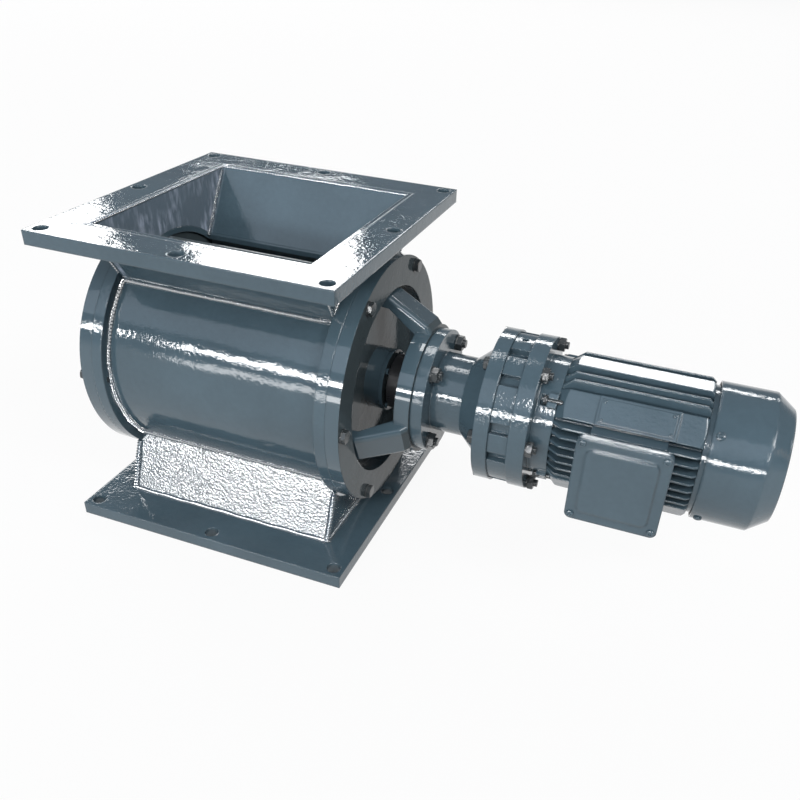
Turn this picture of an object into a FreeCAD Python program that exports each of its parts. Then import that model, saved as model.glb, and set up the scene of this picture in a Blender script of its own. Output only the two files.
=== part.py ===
"""Rotary airlock valve with a flange-mounted cycloidal gear motor.

The rotor axis is horizontal and runs along +X towards the motor. The origin is
the centre of the outlet flange's underside, and +Z points up to the inlet.
All sizes are millimetres.
"""
import FreeCAD
import Part
import math
import os

from FreeCAD import Vector

# Square flanges
flange_side = 400.0
flange_thick = 18.0
flange_hole_r = 9.0
flange_hole_edge = 15.0
valve_height = 416.0

# Throats: inside sizes of the two hoppers
inlet_face_width = 292.0
inlet_waist_width = 184.0
inlet_waist_height = 328.0
outlet_overhang = 4.0
outlet_face_width = 284.0
outlet_waist_width = 212.0
outlet_waist_height = 96.0
plate = 6.0

# Barrel and its two end rings
bore_r = 146.0
shell_wall = 8.0
shell_length = 304.0
ring_thick = 16.0
ring_step = 14.0

# End covers
cover_flange = 18.0
cover_recess_wall = 18.0
cover_web = 14.0
spigot_gap = 0.05
spigot_reach = 18.0
boss_wall = 11.0
boss_length = 20.0
cover_bolt_r = 5.0
cover_bolt_edge = 11.0
cover_bolt_count = 6
hole_gap = 0.4

# Lantern between the drive end cover and the gearbox
leg_count = 3
leg_phase = 84.0
leg_width = 48.0
leg_root_inset = 4.0
leg_thick = 16.0
leg_head_rise = 7.0
leg_head_gap = 6.0
leg_edge_round = 7.0
lantern_length = 59.0
lantern_ring_thick = 20.0
lantern_ring_lip = 4.5
lantern_bore_gap = 9.0

# Star rotor
vane_count = 8
vane_thick = 6.0
vane_tip_land = 2.5
vane_relief = 4.5
hub_r = 42.0
tip_gap = 0.3
side_gap = 0.4
shaft_r = 20.0

# Rotor shaft ends, seals and bearings
shaft_step = 2.5
rotor_bearing_section = 16.0
rotor_bearing_width = 16.0
inner_ring_wall = 5.0
running_gap = 0.05
bearing_step = 5.0
packing_width = 6.0
packing_count = 2
packing_lip = 4.0
cap_plate = 6.0
cap_spigot = 2.0
cap_screw_r = 2.5
cap_screw_count = 4

# Jaw coupling
coupling_r = 37.0
coupling_bore_step = 1.0
coupling_hub = 18.0
coupling_jaw = 10.0
jaw_count = 3
jaw_angle = 50.0
jaw_root_r = 19.0
coupling_gap = 4.0
key_width = 8.0
key_height = 7.0
key_length = 14.0

# Gearbox casings
gear_flange_thick = 16.0
gear_stud_edge = 12.5
gear_stud_r = 6.0
gear_stud_gap = 17.0
gear_stud_count = 4
neck_wall = 13.0
neck_length = 41.0
cone_step = 20.0
cone_length = 31.0
front_ring_thick = 19.0
gear_case_wall = 28.0
pin_case_thick = 25.0
pin_case_step = 2.5
pocket_depth = 9.5
pocket_width = 14.0
pocket_angle = 12.0
gear_cavity_step = 6.0
through_bolt_r = 5.0
through_bolt_edge = 9.0
through_bolt_count = 6
lifting_hole_r = 4.25
lifting_hole_depth = 12.0

# Gearbox output shaft
output_bearing_r = 40.0
output_bearing_width = 18.0
output_journal_r = 20.0
output_inner_wall = 7.0
output_seal_r = 31.0
output_seal_width = 8.0
output_seal_land_r = 19.0
carrier_gap = 5.0
carrier_thick = 12.0
carrier_pin_r = 6.0
carrier_pin_circle = 46.0
carrier_pin_count = 6
roller_wall = 3.5

# Cycloidal stage: 29 lobes run inside a circle of 30 pin places
lobe_count = 29
pin_circle_r = 72.0
ring_pin_r = 4.5
fitted_pin_count = 15
eccentricity = 1.5
mesh_gap = 0.2
disc_thick = 9.0
disc_spacing = 2.5
disc_bore_r = 27.0
sleeve_r = 16.0
sleeve_core_r = 13.8
lobe_point_count = 10
lobe_spread_ratio = 0.7

# Motor casings
shield_ring_thick = 22.0
shield_length = 25.0
shield_wall = 15.0
frame_length = 173.0
frame_bore_r = 63.0
frame_wall = 7.0
fin_height = 18.0
fin_pitch = 11.0
fin_root_thick = 4.0
fin_tip_thick = 2.6
side_fin_count = 7
pad_fin_count = 2
fin_chamfer = 13.0
pad_width = 26.0
pad_drop = 2.0
pad_fin_gap = 15.0
corner_angle = 42.5
corner_pad_width = 36.0
corner_pad_drop = 3.0
plate_pad_offset = 95.0
plate_pad_length = 94.0
plate_pad_height = 2.0
name_plate_thick = 1.0
name_plate_margin = 3.0
rear_shield_thick = 10.0
rear_shield_wall = 17.0
spigot_depth = 6.0
lug_width = 18.0
lug_length = 12.0
screw_pocket_r = 7.0
screw_pocket = 9.0
shield_screw_r = 3.0
front_screw_edge = 5.0
rear_screw_edge = 8.0

# Motor inner pieces
motor_shaft_r = 12.0
motor_journal_step = 0.5
motor_bearing_section = 13.5
motor_bearing_width = 15.0
motor_inner_wall = 4.5
motor_seal_section = 9.0
motor_seal_width = 8.0
stator_bore_r = 40.4
air_gap = 0.4
stack_length = 100.0
winding_length = 20.0
winding_wall = 17.0
end_ring_length = 10.0

# Fan and cowl
cowl_lap = 4.0
cowl_step = 6.0
cowl_wall = 2.0
cowl_length = 87.0
cowl_straight = 65.0
cowl_bevel = 16.0
grille_slot = 6.0
grille_pitch = 12.0
grille_border = 8.0
fan_offset = 17.0
fan_gap = 11.0
fan_blade_length = 26.0
fan_blade_count = 8
fan_plate = 2.5
fan_hub_r = 22.0
cowl_screw_r = 2.5
cowl_screw_inset = 9.0

# Terminal box on the side of the frame
box_offset = 91.0
box_foot_rise = 4.0
box_foot_depth = 22.0
box_foot_length = 88.0
box_foot_height = 84.0
box_depth = 25.5
lid_length = 108.0
lid_height = 113.0
lid_thick = 9.0
lid_panel = 2.5
lid_panel_margin = 13.0
lid_corner_r = 8.0
box_wall = 8.0
gasket_thick = 1.5
lid_screw_r = 2.5
lid_screw_inset = 7.0
gland_r = 9.0
gland_hole_r = 5.0
gland_length = 16.0
block_length = 56.0
block_height = 26.0
block_depth = 12.0
stud_r = 2.5
stud_length = 6.0
stud_pitch = 18.0
stud_row_offset = 7.0

# Places that follow from the sizes above
axis_z = valve_height / 2
flange_hole_span = flange_side - 2 * flange_hole_edge
inlet_length = shell_length - 2 * plate
outlet_length = inlet_length + outlet_overhang
shell_r = bore_r + shell_wall
ring_r = shell_r + ring_step
ring_x = shell_length / 2
cover_x = ring_x + ring_thick
cover_face_x = cover_x + cover_flange
cover_recess_r = bore_r - cover_recess_wall
cover_bolt_circle = ring_r - cover_bolt_edge
chamber_x = cover_x - spigot_reach
seal_land_r = shaft_r - shaft_step
journal_r = seal_land_r - shaft_step
rotor_bearing_r = journal_r + rotor_bearing_section
packing_r = rotor_bearing_r - bearing_step
boss_r = rotor_bearing_r + boss_wall
cap_screw_circle = rotor_bearing_r + boss_wall / 2
coupling_bore_r = journal_r - coupling_bore_step
web_face_x = chamber_x + cover_web
boss_face_x = web_face_x + boss_length
rotor_bearing_x = boss_face_x - cap_spigot - rotor_bearing_width
lantern_face_x = cover_face_x + lantern_length
lantern_ring_x = lantern_face_x - lantern_ring_thick
lantern_bore_r = coupling_r + lantern_bore_gap
neck_r = output_bearing_r + neck_wall
gear_stud_circle = neck_r + gear_stud_gap
gear_flange_r = gear_stud_circle + gear_stud_edge
lantern_ring_r = gear_flange_r + lantern_ring_lip
leg_root_r = cover_recess_r - leg_root_inset
leg_head_r = lantern_ring_r + leg_head_rise
cap_face_x = boss_face_x + cap_plate
coupling_x = cap_face_x + coupling_gap
jaw_x = coupling_x + coupling_hub
jaw_end_x = jaw_x + coupling_jaw
coupling_end_x = jaw_end_x + coupling_hub
gear_neck_x = lantern_face_x + gear_flange_thick
neck_end_x = gear_neck_x + neck_length
front_ring_x = neck_end_x + cone_length
gear_case_r = pin_circle_r + gear_case_wall
gear_cavity_r = pin_circle_r - gear_cavity_step
cone_end_r = gear_case_r - cone_step
pin_case_r = gear_case_r - pin_case_step
pin_case_pocket_r = pin_case_r - pocket_depth
through_bolt_circle = gear_case_r - through_bolt_edge
carrier_r = gear_cavity_r - carrier_gap
pin_case_x = front_ring_x + front_ring_thick
shield_ring_x = pin_case_x + pin_case_thick
shield_x = shield_ring_x + shield_ring_thick
first_bearing_x = lantern_face_x + output_seal_width
carrier_x = front_ring_x + 3.0
carrier_end_x = carrier_x + carrier_thick
second_bearing_x = front_ring_x - output_bearing_width - 2.0
disc_a_x = pin_case_x + (pin_case_thick - 2 * disc_thick - disc_spacing) / 2
disc_b_x = disc_a_x + disc_thick + disc_spacing
motor_face_x = shield_x + shield_length
frame_end_x = motor_face_x + frame_length
frame_core_r = frame_bore_r + frame_wall
fin_tip_r = frame_core_r + fin_height
pad_r = fin_tip_r - pad_drop
corner_pad_r = fin_tip_r - corner_pad_drop
plate_pad_x = motor_face_x + plate_pad_offset
shield_r = frame_bore_r + shield_wall
rear_shield_r = frame_bore_r + rear_shield_wall
rear_shield_end_x = frame_end_x + rear_shield_thick
front_screw_circle = corner_pad_r - front_screw_edge
rear_screw_circle = rear_shield_r - rear_screw_edge
motor_journal_r = motor_shaft_r + motor_journal_step
motor_bearing_r = motor_journal_r + motor_bearing_section
motor_seal_r = motor_shaft_r + motor_seal_section
input_seal_x = shield_ring_x + 6.0
front_motor_bearing_x = motor_face_x - motor_bearing_width
rear_motor_bearing_x = frame_end_x
stack_x = motor_face_x + (frame_length - stack_length) / 2
stack_end_x = stack_x + stack_length
cowl_x = rear_shield_end_x - cowl_lap
cowl_end_x = cowl_x + cowl_length
cowl_r = rear_shield_r + cowl_step
cowl_end_r = cowl_r - cowl_bevel
grille_r = cowl_end_r - grille_border
cowl_screw_x = cowl_x + cowl_screw_inset
fan_x = rear_shield_end_x + fan_offset
fan_r = cowl_r - fan_gap
box_center_x = motor_face_x + box_offset
box_foot_face = fin_tip_r + box_foot_rise
box_rim_face = box_foot_face + box_depth
lid_face = box_rim_face + gasket_thick + lid_thick
AXIS = Vector(1, 0, 0)


def turned(points):
    """Solid of revolution about the rotor axis, from (x, radius) points."""
    corners = [Vector(x, 0, axis_z + r) for x, r in points]
    face = Part.Face(Part.makePolygon(corners + corners[:1]))
    return face.revolve(Vector(0, 0, axis_z), AXIS, 360)


def rod(x0, x1, radius, y=0.0, z=0.0):
    """Cylinder along X, its centre line (y, z) away from the rotor axis."""
    start = Vector(min(x0, x1), y, axis_z + z)
    return Part.makeCylinder(radius, abs(x1 - x0), start, AXIS)


def ring(x0, x1, inner, outer):
    """Plain ring about the rotor axis."""
    return rod(x0, x1, outer).cut(rod(x0, x1, inner))


def block(x0, x1, y0, y1, z0, z1):
    """Box between two corners."""
    return Part.makeBox(x1 - x0, y1 - y0, z1 - z0, Vector(x0, y0, z0))


def prism(outline, x0, x1):
    """Outline of (y, z) points, extruded along X."""
    corners = [Vector(x0, y, z) for y, z in outline]
    face = Part.Face(Part.makePolygon(corners + corners[:1]))
    return face.extrude(Vector(x1 - x0, 0, 0))


def radial_prism(outline, width, degrees):
    """Outline of (x, radius) points, given a width and turned to an angle."""
    corners = [Vector(x, -width / 2, axis_z + r) for x, r in outline]
    face = Part.Face(Part.makePolygon(corners + corners[:1]))
    return turn(face.extrude(Vector(0, width, 0)), degrees - 90)


def turn(shape, degrees):
    """Copy turned about the rotor axis. 0 degrees is +Y and 90 is up."""
    copy = shape.copy()
    copy.rotate(Vector(0, 0, axis_z), AXIS, degrees)
    return copy


def around(shape, count, first=0.0):
    """Copies evenly spaced about the rotor axis."""
    return [turn(shape, first + 360.0 * i / count) for i in range(count)]


def polar(radius, degrees):
    """Offsets (y, z) from the rotor axis."""
    angle = math.radians(degrees)
    return radius * math.cos(angle), radius * math.sin(angle)


def rods_around(x0, x1, radius, circle, count, first=0.0):
    """Rods along X, evenly spaced on a circle about the rotor axis."""
    places = [polar(circle, first + 360.0 * i / count) for i in range(count)]
    return [rod(x0, x1, radius, y, z) for y, z in places]


def mirrored(shape):
    """Mirror image across the valve's middle plane."""
    return shape.mirror(Vector(0, 0, 0), AXIS)


def at_corners(shape):
    """Copies of a shape that lies at 0 degrees, turned to the frame's four corners."""
    return [turn(shape, angle) for angle in corner_angles()]


def corner_angles():
    """Angles of the motor frame's corner pads."""
    return [corner_angle, 180 - corner_angle, 180 + corner_angle, 360 - corner_angle]


def hexagon(x0, x1, flats, y, z, bore=0.0):
    """Hexagon head or nut along X, centred (y, z) away from the rotor axis."""
    corner = flats / math.sqrt(3)
    tips = [(y + corner * math.cos(math.pi * i / 3),
             axis_z + z + corner * math.sin(math.pi * i / 3)) for i in range(6)]
    head = prism(tips, x0, x1)
    return head.cut(rod(x0, x1, bore, y, z)) if bore else head


def bolt(seat_x, end_x, radius, y, z):
    """Hexagon bolt whose head stands outside seat_x and whose tip is at end_x."""
    outward = 1 if seat_x > end_x else -1
    height = 1.3 * radius
    head = hexagon(seat_x, seat_x + outward * height, 3.2 * radius, y, z)
    return head.fuse(rod(seat_x, end_x, radius, y, z))


def rounded_slab(length, height, radius, y0, y1):
    """Rectangle with round corners in X and Z, between two Y planes."""
    slab = block(-length / 2, length / 2, y0, y1, -height / 2, height / 2)
    corners = [e for e in slab.Edges
               if abs(e.Vertexes[0].Point.y - e.Vertexes[1].Point.y) > abs(y1 - y0) / 2]
    slab = slab.makeFillet(radius, corners)
    slab.translate(Vector(box_center_x, 0, axis_z))
    return slab


def clean(shape):
    """Merge the faces that lie in one surface."""
    return shape.removeSplitter()


def union(first, others):
    """Fuse shapes into one solid."""
    return clean(first.multiFuse(list(others)))


# Weldment: flanges, hoppers, barrel and end rings

def hopper(face_z, waist_z, face_width, waist_width, length):
    """Outer and inner forms of a hopper that narrows from its flange to the barrel."""
    slope = (face_width - waist_width) / 2 / abs(face_z - waist_z)
    wall = plate * math.sqrt(1 + slope * slope)
    deep_z = axis_z + (face_z - axis_z) * 0.45
    deep = face_width / 2 - slope * abs(face_z - deep_z)
    top = face_width / 2
    outer = [(-top - wall, face_z), (top + wall, face_z),
             (deep + wall, deep_z), (-deep - wall, deep_z)]
    waist = waist_width / 2
    inner = [(-top, face_z), (top, face_z), (waist, waist_z), (waist, axis_z),
             (-waist, axis_z), (-waist, waist_z)]
    half = length / 2
    return prism(outer, -half - plate, half + plate), prism(inner, -half, half)


def hopper_walls(outer, inner):
    """Hopper plates, notched to sit on the barrel and on both end rings."""
    barrel = rod(-ring_x, ring_x, shell_r)
    rings = rod(-cover_x, -ring_x, ring_r).fuse(rod(ring_x, cover_x, ring_r))
    return clean(outer.cut(inner).cut(barrel).cut(rings))


def square_flange(z0, hopper_outer):
    """Flange plate that the hopper passes through, with eight holes."""
    half = flange_side / 2
    flange = block(-half, half, -half, half, z0, z0 + flange_thick).cut(hopper_outer)
    reach = flange_hole_span / 2
    places = [(x, y) for x in (-reach, 0, reach) for y in (-reach, 0, reach) if x or y]
    holes = [Part.makeCylinder(flange_hole_r, flange_thick, Vector(x, y, z0)) for x, y in places]
    return flange.cut(holes)


def barrel_shell(inlet_inner, outlet_inner):
    """Bored tube, open to both hoppers."""
    return ring(-ring_x, ring_x, bore_r, shell_r).cut([inlet_inner, outlet_inner])


def end_ring():
    """Ring welded to the barrel's end, with holes for the cover's bolts."""
    holes = rods_around(ring_x, cover_x, cover_bolt_r, cover_bolt_circle, cover_bolt_count)
    return ring(ring_x, cover_x, bore_r, ring_r).cut(holes)


# End covers and what seals and carries the rotor shaft

def cover_casting():
    """Dished cover with a spigot, a bearing boss and holes for its bolts."""
    spigot = bore_r - spigot_gap
    lip_x = chamber_x + packing_lip
    seat_x = rotor_bearing_x
    form = turned([
        (chamber_x, seal_land_r + hole_gap), (chamber_x, spigot), (cover_x, spigot),
        (cover_x, ring_r), (cover_face_x, ring_r), (cover_face_x, cover_recess_r),
        (web_face_x, cover_recess_r), (web_face_x, boss_r), (boss_face_x, boss_r),
        (boss_face_x, rotor_bearing_r), (seat_x, rotor_bearing_r), (seat_x, packing_r),
        (lip_x, packing_r), (lip_x, seal_land_r + hole_gap)])
    holes = rods_around(cover_x, cover_face_x, cover_bolt_r + hole_gap,
                        cover_bolt_circle, cover_bolt_count)
    threads = rods_around(boss_face_x - 10, boss_face_x, cap_screw_r,
                          cap_screw_circle, cap_screw_count, 45)
    return form.cut(holes + threads)


def lantern_leg():
    """One sloping leg of the lantern, with its outer edges rounded."""
    outline = [
        (web_face_x, leg_root_r + 1), (cover_face_x, leg_root_r - 1),
        (lantern_face_x - leg_head_gap, leg_head_r), (lantern_face_x, lantern_ring_r),
        (lantern_face_x, lantern_ring_r - 16), (lantern_ring_x, lantern_ring_r - 16),
        (lantern_ring_x, leg_head_r - leg_thick), (cover_face_x, leg_root_r - 1 - leg_thick),
        (web_face_x, leg_root_r + 1 - leg_thick)]
    leg = radial_prism(outline, leg_width, 90)
    lines = [e for e in leg.Edges if e.BoundBox.YLength < 0.01
             and e.CenterOfMass.z - axis_z > leg_head_r - 8
             and e.BoundBox.XLength > 5]
    outer_lines = [e for e in lines
                   if e.CenterOfMass.z - axis_z > leg_line(e.CenterOfMass.x) - 4]
    return leg.makeFillet(leg_edge_round, outer_lines)


def leg_line(x):
    """Radius of a leg's outer surface at a place along the axis."""
    if x <= cover_face_x:
        return leg_root_r
    run = lantern_face_x - leg_head_gap - cover_face_x
    share = min(1.0, (x - cover_face_x) / run)
    return leg_root_r - 1 - (leg_root_r - 1 - leg_head_r) * share


def drive_end_cover():
    """Cover cast in one with the lantern that carries the gearbox."""
    legs = around(lantern_leg(), leg_count, leg_phase - 90)
    head = ring(lantern_ring_x, lantern_face_x, lantern_bore_r, lantern_ring_r)
    body = union(cover_casting(), legs + [head])
    studs = rods_around(lantern_ring_x, lantern_face_x, gear_stud_r,
                        gear_stud_circle, gear_stud_count, 45)
    return body.cut(studs)


def cover_bolts():
    """Six bolts in each end cover."""
    places = [polar(cover_bolt_circle, 360.0 * i / cover_bolt_count)
              for i in range(cover_bolt_count)]
    drive = [bolt(cover_face_x, ring_x + 1, cover_bolt_r, y, z) for y, z in places]
    return drive + [mirrored(b) for b in drive]


def packing_rings():
    """Soft packing rings round the shaft at both ends."""
    start = chamber_x + packing_lip
    drive = [ring(start + i * packing_width, start + (i + 1) * packing_width,
                  seal_land_r + running_gap, packing_r) for i in range(packing_count)]
    return drive + [mirrored(p) for p in drive]


def bearing_cap(bore):
    """Cap that holds a rotor bearing in its boss. Bore 0 closes it."""
    inner = bore if bore else 0.0
    form = turned([
        (boss_face_x - cap_spigot, inner), (boss_face_x - cap_spigot, rotor_bearing_r),
        (boss_face_x, rotor_bearing_r), (boss_face_x, boss_r),
        (cap_face_x, boss_r), (cap_face_x, inner)])
    recess = rod(boss_face_x - cap_spigot, boss_face_x + 1, journal_r + inner_ring_wall + 2)
    holes = rods_around(boss_face_x, cap_face_x, cap_screw_r + hole_gap,
                        cap_screw_circle, cap_screw_count, 45)
    return form.cut([recess] + holes)


def cap_screws():
    """Screws of both bearing caps."""
    places = [polar(cap_screw_circle, 45 + 360.0 * i / cap_screw_count)
              for i in range(cap_screw_count)]
    drive = [bolt(cap_face_x, boss_face_x - 9, cap_screw_r, y, z) for y, z in places]
    return drive + [mirrored(s) for s in drive]


def bearing_outer(x, width, inner_r, outer_r):
    """Outer ring of a shielded ball bearing, its shields included."""
    return ring(x, x + width, inner_r + running_gap, outer_r)


# Star rotor

def rotor_shaft():
    """Stepped shaft from the blind end journal to the coupling."""
    blind_end = -(boss_face_x - cap_spigot)
    form = turned([
        (blind_end, 0), (blind_end, journal_r), (-rotor_bearing_x, journal_r),
        (-rotor_bearing_x, seal_land_r), (-chamber_x, seal_land_r), (-chamber_x, shaft_r),
        (chamber_x, shaft_r), (chamber_x, seal_land_r), (rotor_bearing_x, seal_land_r),
        (rotor_bearing_x, journal_r), (boss_face_x, journal_r), (boss_face_x, coupling_bore_r),
        (jaw_x, coupling_bore_r), (jaw_x, 0)])
    return form.cut(coupling_keys())


def rotor_hub():
    """Hub tube that carries the vanes."""
    end = chamber_x - side_gap
    return ring(-end, end, shaft_r, hub_r)


def rotor_vanes():
    """Flat vanes with a relieved tip, from the hub to the bore."""
    tip = math.sqrt((bore_r - tip_gap) ** 2 - (vane_thick / 2) ** 2)
    half = vane_thick / 2
    outline = [(half, axis_z + hub_r - 2), (half, axis_z + tip),
               (half - vane_tip_land, axis_z + tip), (-half, axis_z + tip - vane_relief),
               (-half, axis_z + hub_r - 2)]
    end = chamber_x - side_gap
    vane = prism(outline, -end, end).cut(rod(-end, end, hub_r))
    return around(vane, vane_count)


# Jaw coupling

def coupling_keys():
    """Two keys, each half in its shaft and half in its coupling hub."""
    low = axis_z + coupling_bore_r - key_height / 2
    starts = (coupling_x, coupling_end_x - key_length)
    return [block(x, x + key_length, -key_width / 2, key_width / 2, low, low + key_height)
            for x in starts]


def coupling_jaws(first):
    """Three jaws, each a sector of the coupling's outline."""
    sector = Part.makeCylinder(coupling_r, coupling_jaw, Vector(jaw_x, 0, axis_z), AXIS, jaw_angle)
    sector = sector.cut(rod(jaw_x, jaw_end_x, jaw_root_r))
    return around(sector, jaw_count, first)


def coupling_half(x0, x1, first):
    """Hub with its jaws and a bore with a keyway."""
    hub = ring(x0, x1, coupling_bore_r, coupling_r)
    return union(hub, coupling_jaws(first)).cut(coupling_keys())


def coupling_spider():
    """Rubber star that fills the gaps between the jaws."""
    gap_angle = (360.0 / jaw_count - 2 * jaw_angle) / 2
    arm = Part.makeCylinder(coupling_r - 1, coupling_jaw, Vector(jaw_x, 0, axis_z), AXIS, gap_angle)
    centre = rod(jaw_x, jaw_end_x, jaw_root_r)
    star = union(centre, around(arm, 2 * jaw_count, jaw_angle))
    return star


# Gearbox

def gear_output_housing():
    """Flange, bearing neck, cone and front ring in one casting."""
    bearing_end = second_bearing_x + output_bearing_width
    form = turned([
        (lantern_face_x, output_seal_r), (lantern_face_x, gear_flange_r),
        (gear_neck_x, gear_flange_r), (gear_neck_x, neck_r), (neck_end_x, neck_r),
        (front_ring_x, cone_end_r), (front_ring_x, gear_case_r), (pin_case_x, gear_case_r),
        (pin_case_x, gear_cavity_r), (front_ring_x, gear_cavity_r), (bearing_end, output_bearing_r),
        (first_bearing_x, output_bearing_r), (first_bearing_x, output_seal_r)])
    bolts = rods_around(front_ring_x, pin_case_x, through_bolt_r + hole_gap,
                        through_bolt_circle, through_bolt_count)
    studs = rods_around(lantern_face_x, gear_neck_x, gear_stud_r + hole_gap,
                        gear_stud_circle, gear_stud_count, 45)
    return form.cut(bolts + studs)


def pin_gear_case():
    """Middle ring with bolt lugs, panels between them and seats for the ring pins."""
    case = ring(pin_case_x, shield_ring_x, pin_circle_r, pin_case_r)
    pocket = radial_prism([
        (pin_case_x, pin_case_pocket_r), (shield_ring_x, pin_case_pocket_r),
        (shield_ring_x, gear_case_r), (pin_case_x, gear_case_r)], pocket_width, 0)
    step = 360.0 / through_bolt_count
    pockets = [turn(pocket, step * i + side * pocket_angle)
               for i in range(through_bolt_count) for side in (-1, 1)]
    bolts = rods_around(pin_case_x, shield_ring_x, through_bolt_r + hole_gap,
                        through_bolt_circle, through_bolt_count)
    lifting = Part.makeCylinder(
        lifting_hole_r, lifting_hole_depth + 5,
        Vector(pin_case_x + pin_case_thick / 2, 0, axis_z + pin_case_r - lifting_hole_depth))
    return case.cut(pockets + bolts + ring_pins() + [lifting])


def ring_pins():
    """Hard pins that the lobes roll on, fitted in every second pin place."""
    first = 360.0 / (lobe_count + 1)
    return rods_around(pin_case_x, shield_ring_x, ring_pin_r, pin_circle_r, fitted_pin_count, first)


def lobe_point(share):
    """Point at a share of the way round the cycloid disc, as (y, z) from its centre.

    The points crowd towards the valleys, where the outline bends most.
    """
    places = lobe_count + 1
    turned_by = 2 * math.pi * share
    t = turned_by - lobe_spread_ratio * math.sin(lobe_count * turned_by) / lobe_count
    reach = ring_pin_r + mesh_gap
    swing = (1 - places) * t
    slant = math.atan2(math.sin(swing), pin_circle_r / (eccentricity * places) - math.cos(swing))
    y = pin_circle_r * math.cos(t) - reach * math.cos(t + slant) - eccentricity * math.cos(places * t)
    z = -pin_circle_r * math.sin(t) + reach * math.sin(t + slant) + eccentricity * math.sin(places * t)
    return y, z


def cycloid_disc(x, side):
    """Lobed disc, offset by the eccentricity towards +Y or -Y."""
    total = lobe_count * lobe_point_count
    points = [lobe_point(i / total) for i in range(total)]
    disc = prism([(y, axis_z + z) for y, z in points], x, x + disc_thick)
    hole_r = carrier_pin_r + roller_wall + eccentricity + mesh_gap
    holes = rods_around(x, x + disc_thick, hole_r, carrier_pin_circle, carrier_pin_count)
    disc = disc.cut(holes + [rod(x, x + disc_thick, disc_bore_r)])
    if side < 0:
        disc = turn(disc, 180)
    disc.translate(Vector(0, side * eccentricity, 0))
    return disc


def eccentric_sleeve():
    """Sleeve with two opposed eccentric lands, one under each disc."""
    land_a = rod(disc_a_x, disc_a_x + disc_thick, sleeve_r, eccentricity)
    land_b = rod(disc_b_x, disc_b_x + disc_thick, sleeve_r, -eccentricity)
    core = rod(disc_a_x, disc_b_x + disc_thick, sleeve_core_r)
    return union(core, [land_a, land_b]).cut(rod(disc_a_x, disc_b_x + disc_thick, motor_shaft_r))


def eccentric_bearings():
    """Caged roller sets between the eccentric lands and the discs."""
    sets = []
    for x, side in ((disc_a_x, 1), (disc_b_x, -1)):
        offset = side * eccentricity
        outer = rod(x, x + disc_thick, disc_bore_r - running_gap, offset)
        sets.append(outer.cut(rod(x, x + disc_thick, sleeve_r, offset)))
    return sets


def output_shaft():
    """Slow shaft with the carrier disc that holds the drive pins."""
    bearing_end = first_bearing_x + output_bearing_width
    form = turned([
        (jaw_end_x, 0), (jaw_end_x, coupling_bore_r), (lantern_face_x, coupling_bore_r),
        (lantern_face_x, output_seal_land_r), (first_bearing_x, output_seal_land_r),
        (first_bearing_x, output_journal_r), (bearing_end, output_journal_r),
        (bearing_end, output_journal_r + 2), (second_bearing_x, output_journal_r + 2),
        (second_bearing_x, output_journal_r), (second_bearing_x + output_bearing_width, output_journal_r),
        (second_bearing_x + output_bearing_width, output_journal_r + 5),
        (carrier_x, output_journal_r + 5), (carrier_x, carrier_r),
        (carrier_end_x, carrier_r), (carrier_end_x, 0)])
    pins = rods_around(carrier_x, carrier_end_x, carrier_pin_r, carrier_pin_circle, carrier_pin_count)
    relief = rod(carrier_x + 4, carrier_end_x, motor_shaft_r + 3)
    return form.cut(pins + coupling_keys() + [relief])


def carrier_pins():
    """Drive pins pressed into the carrier disc."""
    end = disc_b_x + disc_thick + 1.0
    return rods_around(carrier_x, end, carrier_pin_r, carrier_pin_circle, carrier_pin_count)


def carrier_rollers():
    """Sleeves that turn on the drive pins inside the discs' holes."""
    end = disc_b_x + disc_thick + 0.5
    places = [polar(carrier_pin_circle, 360.0 * i / carrier_pin_count)
              for i in range(carrier_pin_count)]
    start = carrier_end_x + 0.5
    return [rod(start, end, carrier_pin_r + roller_wall, y, z).cut(rod(start, end, carrier_pin_r, y, z))
            for y, z in places]


def through_bolts():
    """Long bolts that clamp the gearbox's three rings together."""
    tip = shield_x + 14.0
    places = [polar(through_bolt_circle, 360.0 * i / through_bolt_count)
              for i in range(through_bolt_count)]
    return [bolt(front_ring_x, tip, through_bolt_r, y, z) for y, z in places]


def through_nuts():
    """Nuts of the long bolts, on the motor's side."""
    places = [polar(through_bolt_circle, 360.0 * i / through_bolt_count)
              for i in range(through_bolt_count)]
    return [hexagon(shield_x, shield_x + 9, 17, y, z, through_bolt_r) for y, z in places]


def gear_studs():
    """Studs that hold the gearbox's flange to the lantern."""
    return rods_around(lantern_ring_x + 1, gear_neck_x + 14, gear_stud_r,
                       gear_stud_circle, gear_stud_count, 45)


def gear_nuts():
    """Nuts on the gearbox's flange studs."""
    places = [polar(gear_stud_circle, 45 + 360.0 * i / gear_stud_count)
              for i in range(gear_stud_count)]
    return [hexagon(gear_neck_x, gear_neck_x + 10, 19, y, z, gear_stud_r) for y, z in places]


# Motor

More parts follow.
